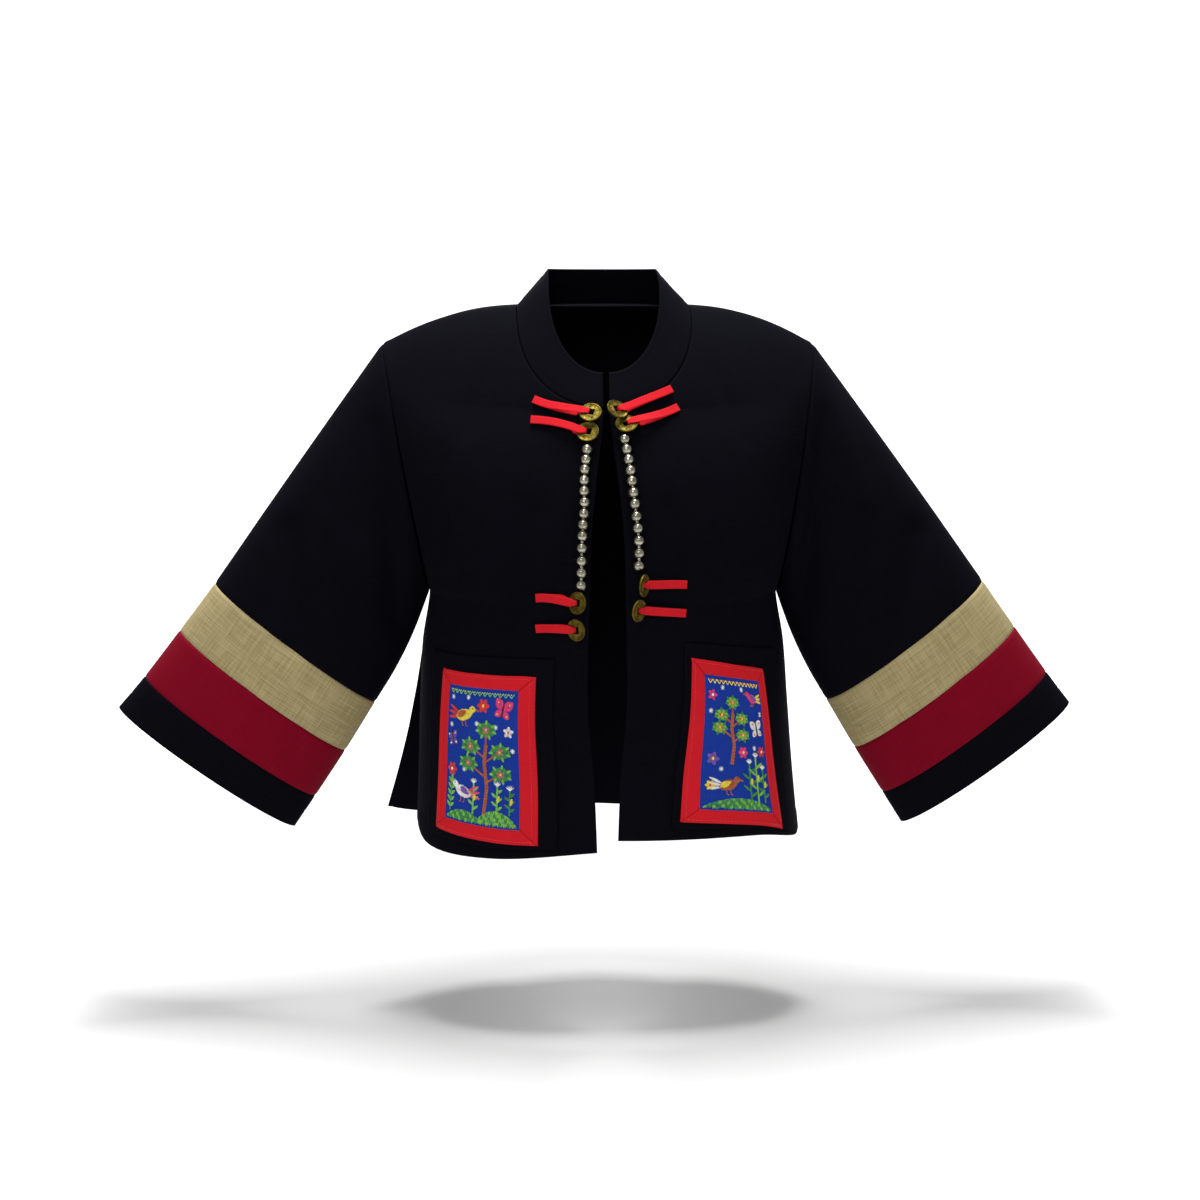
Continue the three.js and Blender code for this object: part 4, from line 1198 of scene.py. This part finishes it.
    def left_design(self) -> None:
        """A tall tree on the right, birds, butterflies and flowers at the left, over two hills."""
        self.hill(-41, 4, -64, 9, Dye.GREEN, Dye.LEAF)
        self.hill(-2, 41, -64, 13, Dye.LEAF, Dye.GREEN)
        self.edging(Dye.LEAF, Dye.YELLOW)
        self.tree(8, -56, 86, Dye.GREEN, Dye.LEAF, Dye.PINK)
        self.bird(-19, 39, 26, 1, Dye.YELLOW, Dye.RUST, Dye.RED)
        self.bird(-19, -37, 25, -1, Dye.WHITE, Dye.PURPLE, Dye.PINK)
        self.butterfly(28, 47, 21, -12, Dye.PINK, Dye.YELLOW)
        self.butterfly(-34, 13, 15, 16, Dye.PURPLE, Dye.WHITE)
        self.flower(5, 50, 13, 6, Dye.RED)
        self.spray(-37, -58, 86, 5, 7.4, Dye.LEAF)
        self.flower(-35, -17, 12, 6, Dye.RED, Dye.WHITE)
        self.plant(34, -54, 24, Dye.GREEN, Dye.WHITE)
        self.plant(21, -54, 27, Dye.LEAF, Dye.WHITE)
        self.plant(-6, -57, 30, Dye.LEAF, Dye.WHITE)
        self.flower(34, 26, 10, 5, Dye.WHITE, Dye.PINK, 12)
        for x, y in ((-36, 55), (38, 8), (-37, 27), (-18, -15), (-14, 57), (-2, 32), (20, 30)):
            self.star(x, y, 5.4, Dye.WHITE)

    def right_design(self) -> None:
        """A small tree and a bird on the left, tall plants at the right, over one long hill."""
        self.hill(-37, 37, -64, 10, Dye.GREEN, Dye.LEAF)
        self.edging(Dye.YELLOW, Dye.PINK)
        self.tree(-7, -20, 64, Dye.LEAF, Dye.GREEN, Dye.RED)
        self.bird(24, 48, 18, -1, Dye.PINK, Dye.PURPLE, Dye.YELLOW)
        self.bird(-13, -41, 24, 1, Dye.RUST, Dye.YELLOW, Dye.WHITE)
        self.butterfly(27, 17, 18, 10, Dye.WHITE, Dye.PINK)
        self.plant(13, -58, 40, Dye.GREEN, Dye.WHITE)
        self.plant(22, -58, 47, Dye.LEAF, Dye.WHITE)
        self.plant(31, -57, 34, Dye.GREEN, Dye.WHITE)
        self.flower(6, -7, 11, 6, Dye.PINK)
        self.flower(-29, -15, 12, 5, Dye.PURPLE, Dye.YELLOW)
        self.flower(-31, -42, 9, 6, Dye.YELLOW, Dye.RED)
        self.flower(32, -5, 10, 6, Dye.RED, Dye.WHITE)
        self.flower(-31, 48, 10, 5, Dye.PINK, Dye.WHITE)
        for x, y in ((-18, 56), (35, 33), (8, 56), (-33, 32), (-20, -25), (22, -2)):
            self.star(x, y, 5.4, Dye.WHITE)


# ------------------------------------------------------------------ loops, coins and beads

@dataclass(frozen=True)
class Fastening:
    """One cloth loop and its coin, seen from the front."""

    name: str
    side: Side
    end: tuple
    coin: tuple
    sag: float
    tip: float
    roll: float


FASTENINGS = (
    Fastening("upper_left_1", LEFT, (-72, -89), (-16, -104), 2, 10, 14),
    Fastening("upper_left_2", LEFT, (-75, -109), (-19, -122), -3, 12, 8),
    Fastening("upper_right_1", RIGHT, (65, -79), (10, -102), 0, 30, 8),
    Fastening("upper_right_2", RIGHT, (71, -97), (19, -115), 2, 4, 22),
    Fastening("lower_left_1", LEFT, (-70, -282), (-30, -285), -2, 42, 8),
    Fastening("lower_left_2", LEFT, (-70, -313), (-31, -312), -1, 40, 0),
    Fastening("lower_right_1", RIGHT, (78, -269), (35, -268), 0, 62, 0),
    Fastening("lower_right_2", RIGHT, (77, -298), (30, -293), 0, 50, 0),
)


@dataclass
class CoinLoop:
    """A folded cloth strip that holds a holed coin."""

    row: Fastening
    width: float = 8.4
    throat: float = 5.4
    thick: float = 1.0
    low: float = 1.4
    high: float = 2.9
    coin_radius: float = 11.0
    hole: float = 3.6
    coin_mm: float = 1.3
    rim_mm: float = 1.8
    clearance: float = 3.6
    dots: int = 8

    def build(self) -> None:
        """Makes the strip and the coin."""
        self.settle_frame()
        self.strip()
        self.coin()

    def settle_frame(self) -> None:
        """Finds the coin's middle and the directions across it, down it and out of its face."""
        row = self.row
        seat, normal = FORM.on_front(row.side, *row.coin)
        sewn, _ = FORM.on_front(row.side, *row.end)
        run = seat - sewn
        forward = (run - normal * run.dot(normal)).normalized()
        across = normal.cross(forward).normalized()
        roll = Quaternion(forward, math.radians(row.roll) * row.side.sign)
        across = roll @ across
        outward = roll @ normal
        tip = math.radians(row.tip)
        rise = self.clearance + self.coin_radius * (math.sin(tip) + abs(math.sin(math.radians(row.roll))))
        lean = Quaternion(across, -tip)
        self.centre = seat + normal * rise
        self.seat, self.sewn, self.normal = seat, sewn, normal
        self.across, self.face, self.down = across, lean @ outward, lean @ forward

    def coin(self) -> None:
        """Makes the coin: a cast disc with raised rims, a square hole and a ring of dots."""
        half, rim = self.coin_mm / 2, self.rim_mm / 2
        turn = ((0, rim * 0.8), (0.02, rim), (0.11, rim), (0.15, half), (0.83, half), (0.87, rim), (0.97, rim),
                (1, rim * 0.8))
        profile = list(turn) + [(k, -z) for k, z in reversed(turn)]
        profile.append(profile[0])
        steps = len(profile) - 1

        def place(a: float, b: float) -> Vector:
            """Round the coin (a) and round its section (b)."""
            angle = 2 * math.pi * a + math.pi / 4
            k, z = profile[round(b * steps)]
            inner = self.hole / max(abs(math.cos(angle)), abs(math.sin(angle)))
            inner = lerp(inner, self.hole * 1.6, k ** 0.5)
            radius = lerp(inner, self.coin_radius, k)
            flat = self.down * (radius * math.cos(angle)) + self.across * (radius * math.sin(angle))
            return self.centre + flat + self.face * z

        mesh = spread_grid(place, 56, steps, lambda p: p - self.centre * MM, closed=True)
        bmesh.ops.remove_doubles(mesh, verts=mesh.verts, dist=2e-6)
        for k in range(self.dots):
            angle = 2 * math.pi * (k + 0.5) / self.dots
            for sign in (1, -1):
                middle = (self.centre + self.down * (7.2 * math.cos(angle)) + self.across * (7.2 * math.sin(angle))
                          + self.face * (sign * half))
                squash = Matrix((self.down * 1.0, self.across * 1.0, self.face * 0.45)).transposed().to_4x4()
                bmesh.ops.create_icosphere(mesh, subdivisions=1, radius=0.95 * MM,
                                           matrix=Matrix.Translation(middle * MM) @ squash)
        bmesh.ops.recalc_face_normals(mesh, faces=mesh.faces)
        coin = new_object(f"holed_coin_{self.row.name}", mesh, Finish.BRASS)
        settle(coin, "brass_coin", f"coin_{self.row.name}")

    def path(self) -> list:
        """Gives the strip's centre line and width: out under the coin, through its hole and back on top."""
        row = self.row

        def on_cloth(t: float, height: float) -> Vector:
            """A point above the front between the sewn end (0) and the coin (1)."""
            x, z = lerp(row.end[0], row.coin[0], t), lerp(row.end[1], row.coin[1], t)
            return FORM.on_front(row.side, x, z - row.sag * 4 * t * (1 - t), height)[0]

        def near(back: float, out: float) -> Vector:
            """A point near the coin's middle."""
            return self.centre - self.down * back + self.face * out

        length = (self.seat - self.sewn).length
        under = 1 - (self.coin_radius + 4) / length
        over = 1 - (self.hole + 4.5) * math.cos(math.radians(row.tip)) / length
        tucked = self.width * 0.8
        steps = [(on_cloth(t * under, self.low), tucked) for t in (0, 0.25, 0.5, 0.75, 1)]
        steps += [(near(self.coin_radius + 1.4, -2), tucked), (near(self.hole + 4, -1.9), tucked),
                  (near(self.hole - 0.6, -1.8), self.throat), (near(self.hole - 1.7, -0.9), self.throat),
                  (near(self.hole - 1.7, 0.9), self.throat), (near(self.hole - 0.6, 1.8), self.throat)]
        on_top = near(self.hole + 4.5, 2.1) - on_cloth(over, self.high)
        for k in range(7):
            t = 1 - k / 6
            steps.append((on_cloth(t * over, self.high) + on_top * smooth(0.05, 1, t), self.width))
        return steps

    def strip(self) -> None:
        """Makes the strip with rounded edges along its path."""
        path = self.path()
        count = len(path) - 1
        cloth_across = self.normal.cross(self.seat - self.sewn).normalized()

        def section(b: float) -> tuple:
            """The centre, width and two directions at a share of the path."""
            x = b * count
            i = min(count - 1, int(x))
            t = x - i
            p0, p1, p2, p3 = (path[max(0, min(count, i + k))][0] for k in (-1, 0, 1, 2))
            centre = 0.5 * (2 * p1 + (p2 - p0) * t + (2 * p0 - 5 * p1 + 4 * p2 - p3) * t * t
                            + (3 * p1 - 3 * p2 + p3 - p0) * t ** 3)
            forward = (0.5 * ((p2 - p0) + 2 * (2 * p0 - 5 * p1 + 4 * p2 - p3) * t
                              + 3 * (3 * p1 - 3 * p2 + p3 - p0) * t * t)).normalized()
            middle = abs(x - count / 2) / (count / 2)
            wide = self.across.lerp(cloth_across, smooth(0.3, 0.9, middle))
            wide = (wide - forward * wide.dot(forward)).normalized()
            return centre, lerp(path[i][1], path[i + 1][1], t), wide, forward.cross(wide)

        def place(a: float, b: float) -> Vector:
            """Round the strip (a) and along it (b)."""
            centre, width, wide, up = section(b)
            angle = 2 * math.pi * a
            c, s = math.cos(angle), math.sin(angle)
            flat = math.copysign(abs(c) ** 0.45, c) * width / 2
            crown = math.copysign(abs(s) ** 0.7, s) * self.thick / 2
            crown *= 1 + 0.25 * bump(abs(flat) - width / 2 + 1, 0.8)
            crown *= 1 - 0.45 * bump(min(b, 1 - b) - 0.05, 0.012)
            return centre + wide * flat + up * crown

        def outward(point: Vector) -> Vector:
            """A rough outward direction, put right below."""
            return Vector((0, -1, 0))

        mesh = spread_grid(place, 20, 84, outward, closed=True)
        ends = [edge for edge in mesh.edges if edge.is_boundary]
        bmesh.ops.holes_fill(mesh, edges=ends, sides=0)
        bmesh.ops.recalc_face_normals(mesh, faces=mesh.faces)
        strip = new_object(f"cloth_loop_{self.row.name}", mesh, Finish.RED)
        settle(strip, "red_loop", f"loop_{self.row.name}")


@dataclass
class Strand:
    """A strand of hollow round beads on a thread, with a small ring at each join."""

    side: Side
    count: int
    route: tuple
    radius: float = 5.5
    lift: float = 7.2
    crowding: float = 60

    def spread(self, k: int) -> float:
        """How far down bead k sits; they are a little closer together near the top."""
        return k + k * k / self.crowding

    def centres(self) -> list:
        """The beads' middles, evenly spaced along the route."""
        fine = []
        for i in range(len(self.route) - 1):
            p = [Vector(self.route[max(0, min(len(self.route) - 1, i + k))]) for k in (-1, 0, 1, 2)]
            for k in range(40):
                t = k / 40
                fine.append(0.5 * (2 * p[1] + (p[2] - p[0]) * t + (2 * p[0] - 5 * p[1] + 4 * p[2] - p[3]) * t * t
                                   + (3 * p[1] - 3 * p[2] + p[3] - p[0]) * t ** 3))
        fine.append(Vector(self.route[-1]))
        length = [0.0]
        for a, b in zip(fine, fine[1:]):
            length.append(length[-1] + (b - a).length)
        spots = []
        for k in range(self.count):
            want = length[-1] * self.spread(k) / self.spread(self.count - 1)
            i = next((n for n, value in enumerate(length) if value >= want), len(length) - 1)
            point, normal = FORM.on_front(self.side, fine[i].x, fine[i].y)
            spots.append(point + normal * self.lift)
        return spots

    def build(self) -> None:
        """Makes the strand in one mesh."""
        mesh = bmesh.new()
        spots = self.centres()
        for k, spot in enumerate(spots):
            before, after = spots[max(0, k - 1)], spots[min(len(spots) - 1, k + 1)]
            axis = (after - before).normalized()
            turn = axis.to_track_quat("Z", "Y").to_matrix().to_4x4()
            made = bmesh.ops.create_uvsphere(mesh, u_segments=22, v_segments=16, radius=1.0)
            for vertex in made["verts"]:
                z = vertex.co.z
                round_it = self.radius * (1 - 0.035 * bump(z, 0.07) + 0.02 * bump(abs(z) - 0.2, 0.08))
                vertex.co = vertex.co * round_it * MM
                vertex.co.z *= 0.98
            bmesh.ops.transform(mesh, matrix=Matrix.Translation(spot * MM) @ turn, verts=made["verts"])
            if k + 1 < len(spots):
                self.ring(mesh, (spot + after) / 2, (after - spot).normalized())
        strand = new_object(f"bead_strand_{self.side.name}", mesh, Finish.SILVER)
        settle(strand, "silver_bead", f"beads_{self.side.name}")

    def ring(self, mesh: bmesh.types.BMesh, middle: Vector, axis: Vector) -> None:
        """Adds a short waisted link between two beads, spun round the strand's thread."""
        turn = axis.to_track_quat("Z", "Y").to_matrix().to_4x4()
        profile = ((0.9, -2.0), (1.5, -1.3), (1.7, 0.0), (1.5, 1.3), (0.9, 2.0))
        points = [mesh.verts.new(Vector((r, 0, z)) * MM) for r, z in profile]
        edges = [mesh.edges.new(pair) for pair in zip(points, points[1:])]
        spun = bmesh.ops.spin(mesh, geom=points + edges, cent=(0, 0, 0), axis=(0, 0, 1), dvec=(0, 0, 0),
                              angle=2 * math.pi, steps=10, use_merge=True)
        verts = set(points) | {item for item in spun["geom_last"] if isinstance(item, bmesh.types.BMVert)}
        grown = set(verts)
        queue = list(verts)
        while queue:
            vertex = queue.pop()
            for edge in vertex.link_edges:
                other = edge.other_vert(vertex)
                if other not in grown:
                    grown.add(other)
                    queue.append(other)
        rims = {edge for vertex in grown for edge in vertex.link_edges if edge.is_boundary}
        bmesh.ops.holes_fill(mesh, edges=list(rims), sides=0)
        faces = {face for vertex in grown for face in vertex.link_faces}
        bmesh.ops.recalc_face_normals(mesh, faces=list(faces))
        bmesh.ops.transform(mesh, matrix=Matrix.Translation(middle * MM) @ turn, verts=list(grown))


# ------------------------------------------------------------------ the studio

@dataclass
class Studio:
    """A plain pale floor that curves up behind, soft lights and the camera."""

    floor_z: float = -0.73
    target: tuple = (-0.003, 0.0, -0.3)
    distance: float = 2.5
    azimuth: float = -2.0
    elevation: float = 6.9
    lens: float = 72.1

    def build(self) -> None:
        """Makes the stage, the lights and the camera."""
        self.sweep()
        self.lights()
        self.camera()

    def sweep(self) -> None:
        """Makes the floor and backdrop in one sheet."""
        mesh = bmesh.new()
        bmesh.ops.create_grid(mesh, x_segments=8, y_segments=60, size=0.5)
        for vertex in mesh.verts:
            t = (vertex.co.y + 0.5) * 14 - 6
            bend = clamp(t - 3.0, 0, 2.0 * math.pi / 2)
            angle = bend / 2.0
            y = min(t, 3.0) + 2.0 * math.sin(angle)
            z = 2.0 * (1 - math.cos(angle)) + max(0.0, t - 3.0 - math.pi)
            vertex.co = Vector((vertex.co.x * 30, y, self.floor_z + z))
        material = bpy.data.materials.new("studio_paper")
        material.use_nodes = True
        shader = material.node_tree.nodes["Principled BSDF"]
        shader.inputs["Base Color"].default_value = linear("#d6d6d6")
        shader.inputs["Roughness"].default_value = 0.9
        shader.inputs["Specular IOR Level"].default_value = 0.0
        shader.inputs["Emission Color"].default_value = (1, 1, 1, 1)
        tree = material.node_tree
        place = add_node(tree, "TexCoord")
        axes = add_node(tree, "SeparateXYZ", {}, {0: place.outputs["Object"]})
        glow = add_node(tree, "MapRange", {"From Min": 0.5, "From Max": 1.7, "To Min": 0.02, "To Max": 0.9},
                        {"Value": axes.outputs["Y"]}, interpolation_type="SMOOTHSTEP")
        tree.links.new(glow.outputs[0], shader.inputs["Emission Strength"])
        data = bpy.data.meshes.new("studio_sweep")
        mesh.to_mesh(data)
        mesh.free()
        data.shade_smooth()
        data.materials.append(material)
        sweep = bpy.data.objects.new("studio_sweep", data)
        bpy.context.scene.collection.objects.link(sweep)

    def lights(self) -> None:
        """Adds a broad top light, a front key and an even surround."""
        world = bpy.data.worlds.new("studio_air")
        bpy.context.scene.world = world
        world.use_nodes = True
        world.node_tree.nodes["Background"].inputs[0].default_value = (1, 1, 1, 1)
        world.node_tree.nodes["Background"].inputs[1].default_value = 0.36
        for name, place, aim, size, power in (
            ("top_light", (0.0, 0.1, 2.3), (0, 0.1, -0.3), (0.55, 1.5), 118),
            ("front_key", (-0.7, -2.8, 1.2), (0, 0, -0.3), (1.4, 1.4), 24),
        ):
            light = bpy.data.lights.new(name, "AREA")
            light.shape = "RECTANGLE"
            light.size, light.size_y = size
            light.energy = power
            thing = bpy.data.objects.new(name, light)
            thing.location = place
            thing.rotation_euler = (Vector(aim) - Vector(place)).to_track_quat("-Z", "Y").to_euler()
            bpy.context.scene.collection.objects.link(thing)

    def camera(self) -> None:
        """Adds the camera, a little above the jacket and a touch to its left."""
        data = bpy.data.cameras.new("camera")
        data.lens = self.lens
        data.sensor_width = 36
        thing = bpy.data.objects.new("camera", data)
        az, el = math.radians(self.azimuth), math.radians(self.elevation)
        away = Vector((math.sin(az) * math.cos(el), -math.cos(az) * math.cos(el), math.sin(el)))
        thing.location = Vector(self.target) + away * self.distance
        thing.rotation_euler = (-away).to_track_quat("-Z", "Y").to_euler()
        bpy.context.scene.collection.objects.link(thing)
        bpy.context.scene.camera = thing
        bpy.context.scene.view_settings.view_transform = "Standard"


def main() -> None:
    """Builds the jacket's pieces in order, then the studio."""
    logging.basicConfig(level=logging.INFO, format="%(message)s")
    Body().build()
    for side in SIDES:
        Sleeve(side).build()
    for side in SIDES:
        Pocket(side).build()
    for row in FASTENINGS:
        CoinLoop(row).build()
    Strand(LEFT, 13, ((-20, -139), (-23, -166), (-23, -196), (-25, -231), (-26, -268))).build()
    Strand(RIGHT, 12, ((17, -129), (22, -157), (26, -188), (30, -224), (30, -249))).build()
    Studio().build()


if __name__ == "__main__":
    main()
